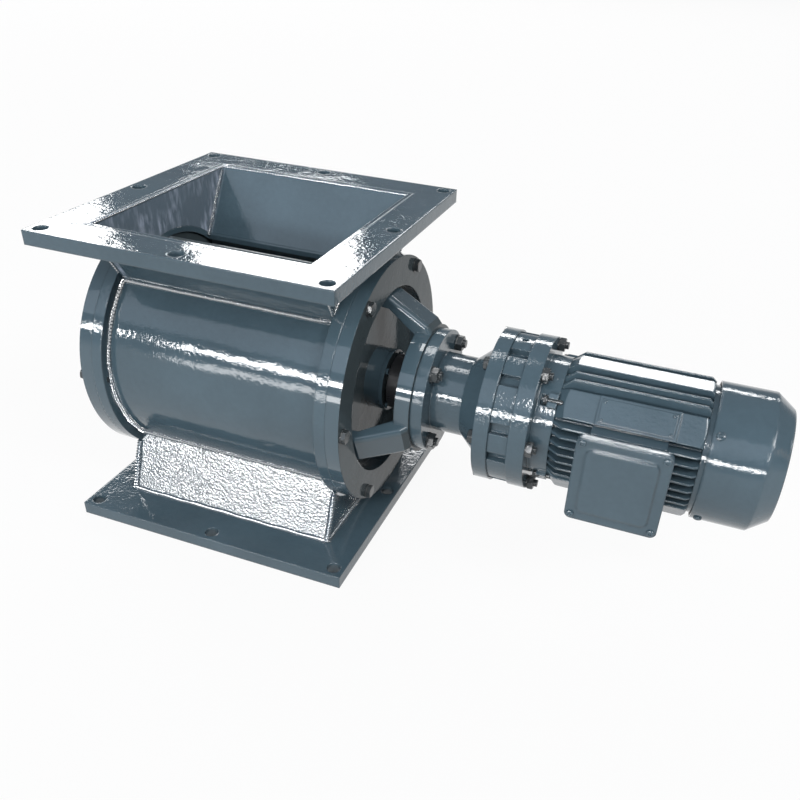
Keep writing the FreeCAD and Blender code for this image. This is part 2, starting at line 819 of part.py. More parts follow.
def front_shield():
    """Rear ring of the gearbox and front end shield of the motor in one casting."""
    seal_end = input_seal_x + motor_seal_width
    form = turned([
        (shield_ring_x, gear_cavity_r), (shield_ring_x, gear_case_r), (shield_x, gear_case_r),
        (shield_x, shield_r), (motor_face_x, shield_r), (motor_face_x, frame_bore_r),
        (motor_face_x + spigot_depth, frame_bore_r), (motor_face_x + spigot_depth, frame_bore_r - 6),
        (motor_face_x, frame_bore_r - 6), (motor_face_x, motor_bearing_r),
        (front_motor_bearing_x, motor_bearing_r), (front_motor_bearing_x, motor_seal_r - 4),
        (seal_end, motor_seal_r - 4), (seal_end, motor_seal_r),
        (input_seal_x, motor_seal_r), (input_seal_x, gear_cavity_r)])
    lug = radial_prism([
        (motor_face_x - lug_length, frame_core_r), (motor_face_x, frame_core_r),
        (motor_face_x, corner_pad_r - 2), (motor_face_x - lug_length, corner_pad_r - 2)],
        lug_width, 0)
    form = union(form, at_corners(lug))
    bolts = rods_around(shield_ring_x, shield_x, through_bolt_r + hole_gap,
                        through_bolt_circle, through_bolt_count)
    seat_x = motor_face_x - lug_length
    screw = rod(seat_x, motor_face_x, shield_screw_r + hole_gap, front_screw_circle)
    pocket = rod(seat_x - screw_pocket, seat_x, screw_pocket_r, front_screw_circle)
    return form.cut(bolts + at_corners(screw) + at_corners(pocket))


def fin(offset):
    """One cooling fin that stands straight up, at an offset from the middle."""
    tip = math.sqrt(fin_tip_r ** 2 - offset ** 2)
    root = math.sqrt(frame_core_r ** 2 - offset ** 2) - 3
    half_root = fin_root_thick / 2
    half_tip = fin_tip_thick / 2
    outline = [(offset - half_root, axis_z + root), (offset + half_root, axis_z + root),
               (offset + half_tip, axis_z + tip), (offset - half_tip, axis_z + tip)]
    return prism(outline, motor_face_x, frame_end_x)


def side_fin_offsets():
    """Offsets of the fins on the frame's sides."""
    return [fin_pitch * (i - (side_fin_count - 1) / 2) for i in range(side_fin_count)]


def pad_fin_offsets():
    """Offsets of the fins beside the pads on top and underneath."""
    first = pad_width / 2 + pad_fin_gap
    outward = [first + fin_pitch * i for i in range(pad_fin_count)]
    return outward + [-v for v in outward]


def motor_frame():
    """Finned housing with pads on top, at its corners and for the terminal box."""
    tube = rod(motor_face_x, frame_end_x, frame_core_r)
    pad = block(motor_face_x, frame_end_x, -pad_width / 2, pad_width / 2,
                axis_z + frame_core_r - 5, axis_z + pad_r)
    pieces = []
    for half_turn in (0, 180):
        pieces += [turn(fin(v), half_turn) for v in pad_fin_offsets()]
        pieces += [turn(fin(v), half_turn + 90) for v in side_fin_offsets()]
        pieces.append(turn(pad, half_turn))
    corner = radial_prism([
        (motor_face_x, frame_core_r - 8), (frame_end_x, frame_core_r - 8),
        (frame_end_x, corner_pad_r), (motor_face_x, corner_pad_r)], corner_pad_width, 0)
    pieces += at_corners(corner)
    envelope = turned([
        (motor_face_x, 0), (motor_face_x, fin_tip_r - fin_chamfer + 3),
        (motor_face_x + fin_chamfer, fin_tip_r), (frame_end_x - 5, fin_tip_r),
        (frame_end_x, fin_tip_r - 4), (frame_end_x, 0)])
    body = tube.multiFuse([piece.common(envelope) for piece in pieces])
    foot = block(box_center_x - box_foot_length / 2, box_center_x + box_foot_length / 2,
                 -box_foot_face, -frame_core_r + box_foot_depth,
                 axis_z - box_foot_height / 2, axis_z + box_foot_height / 2)
    raised = plate_on_pad(plate_pad_length, corner_pad_r - 4,
                          corner_pad_r + plate_pad_height, corner_pad_width)
    body = body.multiFuse([foot, raised])
    bore = rod(motor_face_x, frame_end_x, frame_bore_r)
    threads = at_corners(rod(motor_face_x, motor_face_x + 14, shield_screw_r, front_screw_circle))
    threads += at_corners(rod(frame_end_x - 14, frame_end_x, shield_screw_r, rear_screw_circle))
    return clean(body.cut([bore] + threads))


def plate_on_pad(length, low, high, width):
    """Flat plate on the upper corner pad that faces the terminal box's side."""
    x0 = plate_pad_x - length / 2
    x1 = plate_pad_x + length / 2
    return radial_prism([(x0, low), (x1, low), (x1, high), (x0, high)], width, 180 - corner_angle)


def name_plate():
    """Bare plate on its pad, with nothing on it."""
    low = corner_pad_r + plate_pad_height
    return plate_on_pad(plate_pad_length - 2 * name_plate_margin, low, low + name_plate_thick,
                        corner_pad_width - 2 * name_plate_margin)


def stator_core():
    """Laminated core pressed into the frame."""
    return ring(stack_x, stack_end_x, stator_bore_r, frame_bore_r)


def stator_windings():
    """Wound end turns at both ends of the core."""
    outer = frame_bore_r - 3
    inner = outer - winding_wall
    return [ring(stack_x - winding_length, stack_x, inner, outer),
            ring(stack_end_x, stack_end_x + winding_length, inner, outer)]


def motor_rotor_core():
    """Squirrel cage rotor with its end rings."""
    outer = stator_bore_r - air_gap
    return turned([
        (stack_x - end_ring_length, motor_shaft_r + 3), (stack_x - end_ring_length, outer - 4),
        (stack_x, outer - 4), (stack_x, outer), (stack_end_x, outer), (stack_end_x, outer - 4),
        (stack_end_x + end_ring_length, outer - 4), (stack_end_x + end_ring_length, motor_shaft_r + 3)])


def motor_shaft():
    """Fast shaft from the eccentric sleeve to the fan."""
    front_end = front_motor_bearing_x + motor_bearing_width
    rear_end = rear_motor_bearing_x + motor_bearing_width
    return turned([
        (disc_a_x - 1, 0), (disc_a_x - 1, motor_shaft_r), (disc_b_x + disc_thick, motor_shaft_r),
        (disc_b_x + disc_thick, motor_journal_r), (front_end, motor_journal_r),
        (front_end, motor_shaft_r + 3), (rear_motor_bearing_x, motor_shaft_r + 3),
        (rear_motor_bearing_x, motor_journal_r), (rear_end, motor_journal_r),
        (rear_end, motor_shaft_r), (fan_x + fan_blade_length, motor_shaft_r),
        (fan_x + fan_blade_length, 0)])


def rear_shield():
    """Rear end shield with its bearing hub and lugs for the cowl's screws."""
    hub_end = rear_motor_bearing_x + motor_bearing_width + 3
    form = turned([
        (frame_end_x - spigot_depth, frame_bore_r - 6), (frame_end_x - spigot_depth, frame_bore_r),
        (frame_end_x, frame_bore_r), (frame_end_x, rear_shield_r),
        (frame_end_x + rear_shield_thick, rear_shield_r),
        (frame_end_x + rear_shield_thick, motor_bearing_r + 8), (hub_end, motor_bearing_r + 8),
        (hub_end, motor_bearing_r - 6), (hub_end - 3, motor_bearing_r - 6),
        (hub_end - 3, motor_bearing_r), (frame_end_x, motor_bearing_r),
        (frame_end_x, frame_bore_r - 6)])
    lug = radial_prism([
        (frame_end_x + rear_shield_thick - 2, rear_shield_r - 16),
        (cowl_screw_x + 6, rear_shield_r - 16), (cowl_screw_x + 6, cowl_r - cowl_wall),
        (frame_end_x + rear_shield_thick - 2, cowl_r - cowl_wall)], lug_width, 0)
    form = union(form, at_corners(lug)).common(rod(0, cowl_end_x, cowl_r - cowl_wall))
    hole = rod(frame_end_x, cowl_screw_x + 6, shield_screw_r + hole_gap, rear_screw_circle)
    return form.cut(at_corners(hole) + cowl_screw_shanks())


def cowl_screw_shanks():
    """Threaded ends of the cowl's screws."""
    shank = Part.makeCylinder(cowl_screw_r, 9, Vector(cowl_screw_x, cowl_r - 9, axis_z), Vector(0, 1, 0))
    return at_corners(shank)


def cowl_screws():
    """Four screws that hold the cowl to the rear shield."""
    head = Part.makeCylinder(2 * cowl_screw_r, 3, Vector(cowl_screw_x, cowl_r, axis_z), Vector(0, 1, 0))
    return [shank.fuse(top) for shank, top in zip(cowl_screw_shanks(), at_corners(head))]


def shield_screws():
    """Screws that hold both end shields to the frame."""
    front = bolt(motor_face_x - lug_length, motor_face_x + 13, shield_screw_r, front_screw_circle, 0)
    rear = bolt(cowl_screw_x + 6, frame_end_x - 13, shield_screw_r, rear_screw_circle, 0)
    return at_corners(front) + at_corners(rear)


def fan_cowl():
    """Pressed cowl with a bevelled end and a slotted grille."""
    straight_x = cowl_x + cowl_straight
    shell = turned([
        (cowl_x, cowl_r - cowl_wall), (cowl_x, cowl_r), (straight_x, cowl_r),
        (cowl_end_x, cowl_end_r), (cowl_end_x, 0), (cowl_end_x - cowl_wall, 0),
        (cowl_end_x - cowl_wall, cowl_end_r - 1), (straight_x - 1, cowl_r - cowl_wall)])
    steps = int(grille_r / grille_pitch)
    slots = []
    for i in range(-steps, steps + 1):
        z = grille_pitch * i
        reach = math.sqrt(grille_r ** 2 - z ** 2)
        slots.append(block(cowl_end_x - cowl_wall, cowl_end_x, -reach, reach,
                           axis_z + z - grille_slot / 2, axis_z + z + grille_slot / 2))
    return shell.cut(slots + cowl_screw_shanks())


def motor_fan():
    """Radial fan on the shaft's rear end."""
    end = fan_x + fan_blade_length
    hub = rod(fan_x, end, fan_hub_r)
    disc = rod(fan_x, fan_x + fan_plate, fan_r - 6)
    blade = radial_prism([(fan_x, fan_hub_r - 2), (end, fan_hub_r - 2), (end, fan_r - 4),
                          (end - 6, fan_r), (fan_x, fan_r)], fan_plate, 0)
    return union(hub, [disc] + around(blade, fan_blade_count)).cut(rod(fan_x, end, motor_shaft_r))


# Terminal box

def box_base():
    """Tapered box between the frame's foot and the lid."""
    foot = box_foot_face
    rim = box_rim_face
    small = rounded_slab(box_foot_length, box_foot_height, lid_corner_r, -foot - 1, -foot)
    large = rounded_slab(lid_length - 4, lid_height - 4, lid_corner_r, -rim - 1, -rim)
    wires = [face_at(small, -foot), face_at(large, -rim)]
    outer = Part.makeLoft(wires, True, True)
    inner = rounded_slab(box_foot_length - 2 * box_wall, box_foot_height - 2 * box_wall,
                         lid_corner_r, -rim, -foot - 5)
    below = Vector(box_center_x, gland_y(), axis_z - lid_height / 2 - plate)
    cable = Part.makeCylinder(gland_r - 2, lid_height / 2, below)
    return outer.cut([inner, cable] + lid_screw_shanks())


def face_at(slab, y):
    """Outline of a slab's face at a Y plane."""
    faces = [f for f in slab.Faces if abs(f.BoundBox.YMin - y) < 0.01 and f.BoundBox.YLength < 0.01]
    return faces[0].OuterWire


def gland_y():
    """Middle of the box's wall, where the cable gland sits."""
    return -(box_foot_face + box_rim_face) / 2


def box_gasket():
    """Flat seal between the box and its lid."""
    outer = rounded_slab(lid_length - 4, lid_height - 4, lid_corner_r,
                         -box_rim_face - gasket_thick, -box_rim_face)
    inner = rounded_slab(box_foot_length - 2 * box_wall, box_foot_height - 2 * box_wall,
                         lid_corner_r, -box_rim_face - gasket_thick, -box_rim_face)
    return outer.cut([inner] + lid_screw_shanks())


def box_lid():
    """Lid with a raised panel."""
    back = box_rim_face + gasket_thick
    slab = rounded_slab(lid_length, lid_height, lid_corner_r, -lid_face, -back)
    panel = rounded_slab(lid_length - 2 * lid_panel_margin, lid_height - 2 * lid_panel_margin,
                         lid_corner_r, -lid_face - lid_panel, -lid_face + 1)
    hollow = rounded_slab(lid_length - 2 * lid_panel_margin - 6, lid_height - 2 * lid_panel_margin - 6,
                          lid_corner_r - 3, -lid_face + 3, -back)
    return clean(slab.fuse(panel)).cut([hollow] + lid_screw_shanks())


def lid_screw_places():
    """Corners of the lid, as (x, z)."""
    half_x = lid_length / 2 - lid_screw_inset
    half_z = lid_height / 2 - lid_screw_inset
    return [(box_center_x + i * half_x, axis_z + k * half_z) for i in (-1, 1) for k in (-1, 1)]


def lid_screw_shanks():
    """Shanks of the lid's screws."""
    start = box_rim_face - 8
    return [Part.makeCylinder(lid_screw_r, lid_face - start, Vector(x, -start, z), Vector(0, -1, 0))
            for x, z in lid_screw_places()]


def lid_screws():
    """Pan head screws at the lid's corners."""
    heads = [Part.makeCylinder(2 * lid_screw_r, 3, Vector(x, -lid_face, z), Vector(0, -1, 0))
             for x, z in lid_screw_places()]
    return [shank.fuse(head) for shank, head in zip(lid_screw_shanks(), heads)]


def terminal_block():
    """Moulded block with six studs for the supply leads."""
    floor = -box_foot_face - 5
    body = block(box_center_x - block_length / 2, box_center_x + block_length / 2,
                 floor - block_depth, floor, axis_z - block_height / 2, axis_z + block_height / 2)
    places = [Vector(box_center_x + stud_pitch * i, floor - block_depth, axis_z + stud_row_offset * k)
              for i in (-1, 0, 1) for k in (-1, 1)]
    studs = [Part.makeCylinder(stud_r, stud_length, place, Vector(0, -1, 0)) for place in places]
    return body, studs


def cable_gland():
    """Gland in the box's lower wall, with a free hole for the supply cable."""
    top = axis_z - box_foot_height / 2 + box_wall - 2
    low = axis_z - lid_height / 2 - 4
    y = gland_y()
    stem = Part.makeCylinder(gland_r - 2, top - low, Vector(box_center_x, y, low))
    nut = Part.makeCylinder(gland_r, gland_length - 8, Vector(box_center_x, y, low - 2))
    hole = Part.makeCylinder(gland_hole_r, top - low + 10, Vector(box_center_x, y, low - 4))
    return union(stem, [nut]).cut(hole)


def export(name, shape):
    """Write one piece, or a group of like pieces, as a STEP file."""
    if isinstance(shape, list):
        shape = Part.makeCompound(shape)
    if not shape.isValid():
        print("not valid:", name)
    shape.exportStep("parts/" + name + ".step")
    print(name, len(shape.Solids), round(shape.Volume / 1000, 2))


def build():
    """Make every piece in its place."""
    inlet_outer, inlet_inner = hopper(
        valve_height, inlet_waist_height, inlet_face_width, inlet_waist_width, inlet_length)
    outlet_outer, outlet_inner = hopper(
        0.0, outlet_waist_height, outlet_face_width, outlet_waist_width, outlet_length)
    block_body, block_studs = terminal_block()
    cover = cover_casting()
    blind_bearing_x = -rotor_bearing_x - rotor_bearing_width
    journal_outer = journal_r + inner_ring_wall
    output_outer = output_journal_r + output_inner_wall
    motor_outer = motor_journal_r + motor_inner_wall
    return {
        "inlet_flange": square_flange(valve_height - flange_thick, inlet_outer),
        "inlet_neck": hopper_walls(inlet_outer, inlet_inner),
        "barrel_shell": barrel_shell(inlet_inner, outlet_inner),
        "drive_end_ring": end_ring(),
        "blind_end_ring": mirrored(end_ring()),
        "outlet_chute": hopper_walls(outlet_outer, outlet_inner),
        "outlet_flange": square_flange(0.0, outlet_outer),
        "drive_end_cover": drive_end_cover(),
        "blind_end_cover": mirrored(cover),
        "cover_bolts": cover_bolts(),
        "shaft_packings": packing_rings(),
        "drive_bearing_cap": bearing_cap(journal_r + 1),
        "blind_bearing_cap": mirrored(bearing_cap(0)),
        "bearing_cap_screws": cap_screws(),
        "rotor_bearing_outer_rings": [
            bearing_outer(rotor_bearing_x, rotor_bearing_width, journal_outer, rotor_bearing_r),
            bearing_outer(blind_bearing_x, rotor_bearing_width, journal_outer, rotor_bearing_r)],
        "rotor_bearing_inner_rings": [
            ring(rotor_bearing_x, rotor_bearing_x + rotor_bearing_width, journal_r, journal_outer),
            ring(blind_bearing_x, -rotor_bearing_x, journal_r, journal_outer)],
        "rotor_shaft": rotor_shaft(),
        "rotor_hub": rotor_hub(),
        "rotor_vanes": rotor_vanes(),
        "coupling_valve_half": coupling_half(coupling_x, jaw_x, 0),
        "coupling_spider": coupling_spider(),
        "coupling_keys": coupling_keys(),
        "coupling_gearbox_half": coupling_half(jaw_end_x, coupling_end_x, 180.0 / jaw_count),
        "gearbox_output_housing": gear_output_housing(),
        "gearbox_flange_studs": gear_studs(),
        "gearbox_flange_nuts": gear_nuts(),
        "gearbox_oil_seals": [
            ring(lantern_face_x, first_bearing_x, output_seal_land_r + running_gap, output_seal_r),
            ring(input_seal_x, input_seal_x + motor_seal_width,
                 motor_journal_r + running_gap, motor_seal_r)],
        "output_bearing_outer_rings": [
            bearing_outer(x, output_bearing_width, output_outer, output_bearing_r)
            for x in (first_bearing_x, second_bearing_x)],
        "output_bearing_inner_rings": [
            ring(x, x + output_bearing_width, output_journal_r, output_outer)
            for x in (first_bearing_x, second_bearing_x)],
        "output_shaft": output_shaft(),
        "carrier_pins": carrier_pins(),
        "carrier_rollers": carrier_rollers(),
        "pin_gear_case": pin_gear_case(),
        "ring_pins": ring_pins(),
        "cycloid_disc_front": cycloid_disc(disc_a_x, 1),
        "cycloid_disc_rear": cycloid_disc(disc_b_x, -1),
        "eccentric_sleeve": eccentric_sleeve(),
        "eccentric_bearings": eccentric_bearings(),
        "gearbox_through_bolts": through_bolts(),
        "gearbox_through_nuts": through_nuts(),
        "motor_front_shield": front_shield(),
        "motor_bearing_outer_rings": [
            bearing_outer(x, motor_bearing_width, motor_outer, motor_bearing_r)
            for x in (front_motor_bearing_x, rear_motor_bearing_x)],
        "motor_bearing_inner_rings": [
            ring(x, x + motor_bearing_width, motor_journal_r, motor_outer)
            for x in (front_motor_bearing_x, rear_motor_bearing_x)],
        "motor_frame": motor_frame(),
        "motor_name_plate": name_plate(),
        "stator_core": stator_core(),
        "stator_windings": stator_windings(),
        "motor_rotor_core": motor_rotor_core(),
        "motor_shaft": motor_shaft(),
        "motor_rear_shield": rear_shield(),
        "motor_shield_screws": shield_screws(),
        "motor_fan": motor_fan(),
        "fan_cowl": fan_cowl(),
        "cowl_screws": cowl_screws(),
        "terminal_box": box_base(),
        "terminal_box_gasket": box_gasket(),
        "terminal_box_lid": box_lid(),
        "terminal_lid_screws": lid_screws(),
        "terminal_block": [block_body] + block_studs,
        "cable_gland": cable_gland(),
    }


os.makedirs("parts", exist_ok=True)
for node, shape in build().items():
    export(node, shape)
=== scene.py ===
"""Dresses a rotary airlock valve: gloss enamel, weld beads, fasteners, studio and camera.

Lengths are metres in the frame of the valve. The rotor axis runs along +X towards the motor, +Z is up,
and the origin is the centre of the outlet flange's underside.
"""

from __future__ import annotations

import logging
import math
from dataclasses import dataclass, field
from enum import Enum
from typing import Any, Iterable, Mapping, Sequence, Union

import bmesh
import bpy
from mathutils import Matrix, Vector

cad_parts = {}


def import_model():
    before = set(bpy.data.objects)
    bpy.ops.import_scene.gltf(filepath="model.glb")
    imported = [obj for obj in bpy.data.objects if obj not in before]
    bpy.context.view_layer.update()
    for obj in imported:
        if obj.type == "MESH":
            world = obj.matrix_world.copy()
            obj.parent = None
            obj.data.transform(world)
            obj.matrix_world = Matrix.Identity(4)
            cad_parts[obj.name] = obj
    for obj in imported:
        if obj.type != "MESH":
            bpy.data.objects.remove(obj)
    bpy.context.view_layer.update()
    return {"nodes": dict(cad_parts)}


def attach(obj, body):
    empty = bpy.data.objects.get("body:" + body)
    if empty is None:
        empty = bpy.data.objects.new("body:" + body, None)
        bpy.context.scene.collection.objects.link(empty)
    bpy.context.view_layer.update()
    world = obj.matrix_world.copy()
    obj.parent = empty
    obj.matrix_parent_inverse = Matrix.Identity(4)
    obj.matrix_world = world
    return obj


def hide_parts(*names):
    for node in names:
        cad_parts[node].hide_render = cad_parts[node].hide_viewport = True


LOG = logging.getLogger("valve")

MM = 0.001
AXIS_HEIGHT = 0.208
CASINGS = "casings"
NOISE_MEAN = 0.5

# Layers of detail in a noise
COARSE = 1.0
MEDIUM = 2.0
FINE = 3.0
FINEST = 4.0

BEVEL_SAMPLES = 4
SMOOTH_ANGLE = 40.0
SEAT_HALVINGS = 50
WHITE = (1.0, 1.0, 1.0)

Colour = tuple[float, float, float]
Point = tuple[float, float, float]
Number = Union["Signal", float]
Socket = Union[str, int]
Inputs = Mapping[Socket, Any]


def polar(radius: float, degrees: float, x: float) -> Vector:
    """Place a point round the rotor axis.

    Args:
        radius: Distance from the rotor axis.
        degrees: Angle from +Y towards +Z.
        x: Place along the rotor axis.

    Returns:
        The point.
    """
    angle = math.radians(degrees)
    return Vector((x, radius * math.cos(angle), AXIS_HEIGHT + radius * math.sin(angle)))


class Axis:
    """An axis through a point, with two directions across it."""

    def __init__(self, origin: Vector, along: Vector) -> None:
        """Set the directions up.

        Args:
            origin: The point.
            along: Direction of the axis.
        """
        self.origin = origin
        self.along = along.normalized()
        self.side = self.along.orthogonal().normalized()
        self.across = self.along.cross(self.side)

    def point(self, angle: float, rise: float, reach: float) -> Vector:
        """Give a point about the axis.

        Args:
            angle: Angle round the axis, in radians.
            rise: Distance along the axis.
            reach: Distance from the axis.

        Returns:
            The point.
        """
        direction = self.side * math.cos(angle) + self.across * math.sin(angle)
        return self.origin + self.along * rise + direction * reach

    def ring(self, rise: float, reach: float, count: int) -> list[Vector]:
        """Give a ring of points about the axis.

        Args:
            rise: Distance along the axis.
            reach: Radius.
            count: Number of points.

        Returns:
            The ring.
        """
        return [self.point(2.0 * math.pi * i / count, rise, reach) for i in range(count)]


class Signal:
    """An output socket of a shader node that takes part in arithmetic."""

    def __init__(self, graph: NodeGraph, socket: bpy.types.NodeSocket) -> None:
        """Keep the graph and the socket.

        Args:
            graph: The graph that the socket belongs to.
            socket: The output socket.
        """
        self.graph = graph
        self.socket = socket

    def _math(self, operation: str, first: Number, second: Number) -> Signal:
        """Add one Math node.

        Args:
            operation: The node's operation.
            first: First input.
            second: Second input.

        Returns:
            The node's result.
        """
        return self.graph.add("ShaderNodeMath", {"operation": operation}, {0: first, 1: second}).out()

    def __add__(self, other: Number) -> Signal:
        """Sum."""
        return self._math("ADD", self, other)

    def __radd__(self, other: float) -> Signal:
        """Sum with a number on the left."""
        return self._math("ADD", other, self)

    def __sub__(self, other: Number) -> Signal:
        """Difference."""
        return self._math("SUBTRACT", self, other)

    def __rsub__(self, other: float) -> Signal:
        """Difference from a number."""
        return self._math("SUBTRACT", other, self)

    def __mul__(self, other: Number) -> Signal:
        """Product."""
        return self._math("MULTIPLY", self, other)

    def clamped(self) -> Signal:
        """Keep the value between 0 and 1."""
        return self.graph.add("ShaderNodeClamp", {}, {"Value": self}).out()


@dataclass
class PlacedNode:
    """A shader node that has been added to a graph."""

    graph: NodeGraph
    node: bpy.types.Node

    def out(self, name: Socket = 0) -> Signal:
        """Give one of the node's outputs.

        Args:
            name: The output's name or number.

        Returns:
            The output as a signal.
        """
        return Signal(self.graph, self.node.outputs[name])


class NodeGraph:
    """The node tree of one material, or of the world."""

    def __init__(self, tree: bpy.types.NodeTree) -> None:
        """Start with an empty tree.

        Args:
            tree: The tree to fill.
        """
        tree.nodes.clear()
        self.tree = tree

    def add(
        self,
        kind: str,
        settings: Mapping[str, Any] | None = None,
        inputs: Inputs | None = None,
    ) -> PlacedNode:
        """Add a node, set it up, and fill its inputs.

        Args:
            kind: The node's type.
            settings: Properties to set first. The stops of a ramp are (place, colour) pairs.
            inputs: Values or signals, by the input's name or number.

        Returns:
            The node.
        """
        node = self.tree.nodes.new(kind)
        for name, value in (settings or {}).items():
            if name == "stops":
                self._set_stops(node, value)
            else:
                setattr(node, name, value)
        for name, value in (inputs or {}).items():
            if isinstance(value, Signal):
                self.tree.links.new(value.socket, node.inputs[name])
            else:
                node.inputs[name].default_value = value
        return PlacedNode(self, node)

    @staticmethod
    def _set_stops(node: bpy.types.Node, stops: Sequence[tuple[float, Colour]]) -> None:
        """Fill a colour ramp.

        Args:
            node: The ramp.
            stops: Pairs of place and colour, from left to right.
        """
        elements = node.color_ramp.elements
        while len(elements) < len(stops):
            elements.new(1.0)
        for element, (place, colour) in zip(elements, stops):
            element.position = place
            element.color = (*colour, 1.0)

    def place(self) -> Signal:
        """Give the point of the object's own space, which is the valve's frame."""
        return self.add("ShaderNodeTexCoord").out("Object")

    def noise(self, scale: float, detail: float, stretch: Point = (1.0, 1.0, 1.0)) -> Signal:
        """Give a smooth noise between 0 and 1.

        Args:
            scale: Waves per metre.
            detail: Number of finer layers.
            stretch: Factors on X, Y and Z. A small factor draws the noise out along that axis.

        Returns:
            The noise.
        """
        mapping = self.add("ShaderNodeMapping", {}, {"Vector": self.place(), "Scale": stretch})
        inputs = {"Vector": mapping.out(), "Scale": scale, "Detail": detail}
        return self.add("ShaderNodeTexNoise", {}, inputs).out()

    def blend(self, share: Number, first: Any, second: Any) -> Signal:
        """Mix two colours.

        Args:
            share: Share of the second colour.
            first: First colour, with alpha, or a signal.
            second: Second colour, with alpha, or a signal.

        Returns:
            The mixed colour.
        """
        return self.add("ShaderNodeMix", {"data_type": "RGBA"}, {0: share, 6: first, 7: second}).out(2)

    def along_axis(self, vector: Signal) -> Signal:
        """Give a vector's component along the rotor axis.

        Args:
            vector: The vector.

        Returns:
            Its X component.
        """
        return self.add("ShaderNodeSeparateXYZ", {}, {0: vector}).out(0)

    def soft_edges(self, radius: float) -> Signal:
        """Give a normal that rounds the mesh's edges.

        Args:
            radius: Radius of the rounding.

        Returns:
            The normal.
        """
        return self.add("ShaderNodeBevel", {"samples": BEVEL_SAMPLES}, {"Radius": radius}).out()

    def embossed(self, height: Signal, normal: Signal | None = None) -> Signal:
        """Give the normal of a surface with relief.

        Args:
            height: The relief, in metres.
            normal: The normal to start from, if it isn't the mesh's own.

        Returns:
            The normal.
        """
        inputs: dict[str, Any] = {"Strength": 1.0, "Distance": 1.0, "Height": height}
        if normal is not None:
            inputs["Normal"] = normal
        return self.add("ShaderNodeBump", {}, inputs).out()

    def close(self, inputs: Inputs) -> None:
        """Add the surface shader and the output.

        Args:
            inputs: The shader's inputs.
        """
        shader = self.add("ShaderNodeBsdfPrincipled", {}, inputs)
        self.add("ShaderNodeOutputMaterial", {}, {"Surface": shader.out()})


def new_material(name: str) -> tuple[bpy.types.Material, NodeGraph]:
    """Make a material with an empty graph.

    Args:
        name: Its name.

    Returns:
        The material and its graph.
    """
    material = bpy.data.materials.new(name)
    material.use_nodes = True
    return material, NodeGraph(material.node_tree)


def opaque(colour: Iterable[float]) -> tuple[float, ...]:
    """Add full alpha to a colour.

    Args:
        colour: Red, green and blue.

    Returns:
        The colour with alpha.
    """
    return (*colour, 1.0)


class Texture(Enum):
    """How the enamel lies on a surface."""

    SPRAYED = "sprayed"
    BRUSHED = "brushed"
    PEBBLED = "pebbled"


@dataclass(frozen=True)
class ThroatWallScuffsAndLight:
    """Brushed, scuffed paint on the throat's wall away from the motor, with painted light: its pale marks
    are partly scuffs and partly painted reflection, and an even painted lightening covers the wall. Rises
    and waves are per metre.
    """

    inner: float = -140.0 * MM
    inner_rise: float = 300.0
    outer: float = -149.0 * MM
    outer_rise: float = 600.0
    streak_size: float = 7.0 * MM
    streak_stretch: Point = (1.0, 1.0, 0.22)
    streak_depth: float = 0.9 * MM
    streak_depth_elsewhere: float = 0.1 * MM
    mark_stretch: Point = (1.0, 1.0, 0.3)
    mark_level: float = 0.44
    mark_contrast: float = 3.6
    mark_share: float = 0.8
    patch_waves: float = 22.0
    patch_level: float = 0.36
    patch_contrast: float = 4.0
    even_painted_light_share: float = 0.19

    def mask(self, graph: NodeGraph) -> Signal:
        """Give 1 on the wall's inner face and 0 elsewhere.

        Args:
            graph: The material's graph.

        Returns:
            The mask.
        """
        x = graph.along_axis(graph.place())
        short_of_inner = (self.inner - x) * self.inner_rise
        past_outer = (x - self.outer) * self.outer_rise
        return short_of_inner.clamped() * past_outer.clamped()

    def scuffs_and_painted_light(self, graph: NodeGraph) -> Signal:
        """Give the share of pale colour: marks that are partly scuffs and partly painted reflection, plus
        an even painted lightening.

        Args:
            graph: The material's graph.

        Returns:
            The share.
        """
        marks = graph.noise(1.0 / self.streak_size, FINEST, self.mark_stretch) - self.mark_level
        marks = marks * self.mark_contrast
        patches = (graph.noise(self.patch_waves, COARSE) - self.patch_level) * self.patch_contrast
        # The marks are partly scuffs and partly painted reflection; the even share is painted light over
        # the whole wall.
        share = marks.clamped() * patches.clamped() * self.mark_share + self.even_painted_light_share
        return share * self.mask(graph)

    def streaks(self, graph: NodeGraph) -> Signal:
        """Give the height of the brush streaks, in metres.

        Args:
            graph: The material's graph.

        Returns:
            The height.
        """
        streaks = graph.noise(1.0 / self.streak_size, FINE, self.streak_stretch)
        return streaks * (self.mask(graph) * self.streak_depth + self.streak_depth_elsewhere)


THROAT_WALL_SCUFFS_AND_LIGHT = ThroatWallScuffsAndLight()


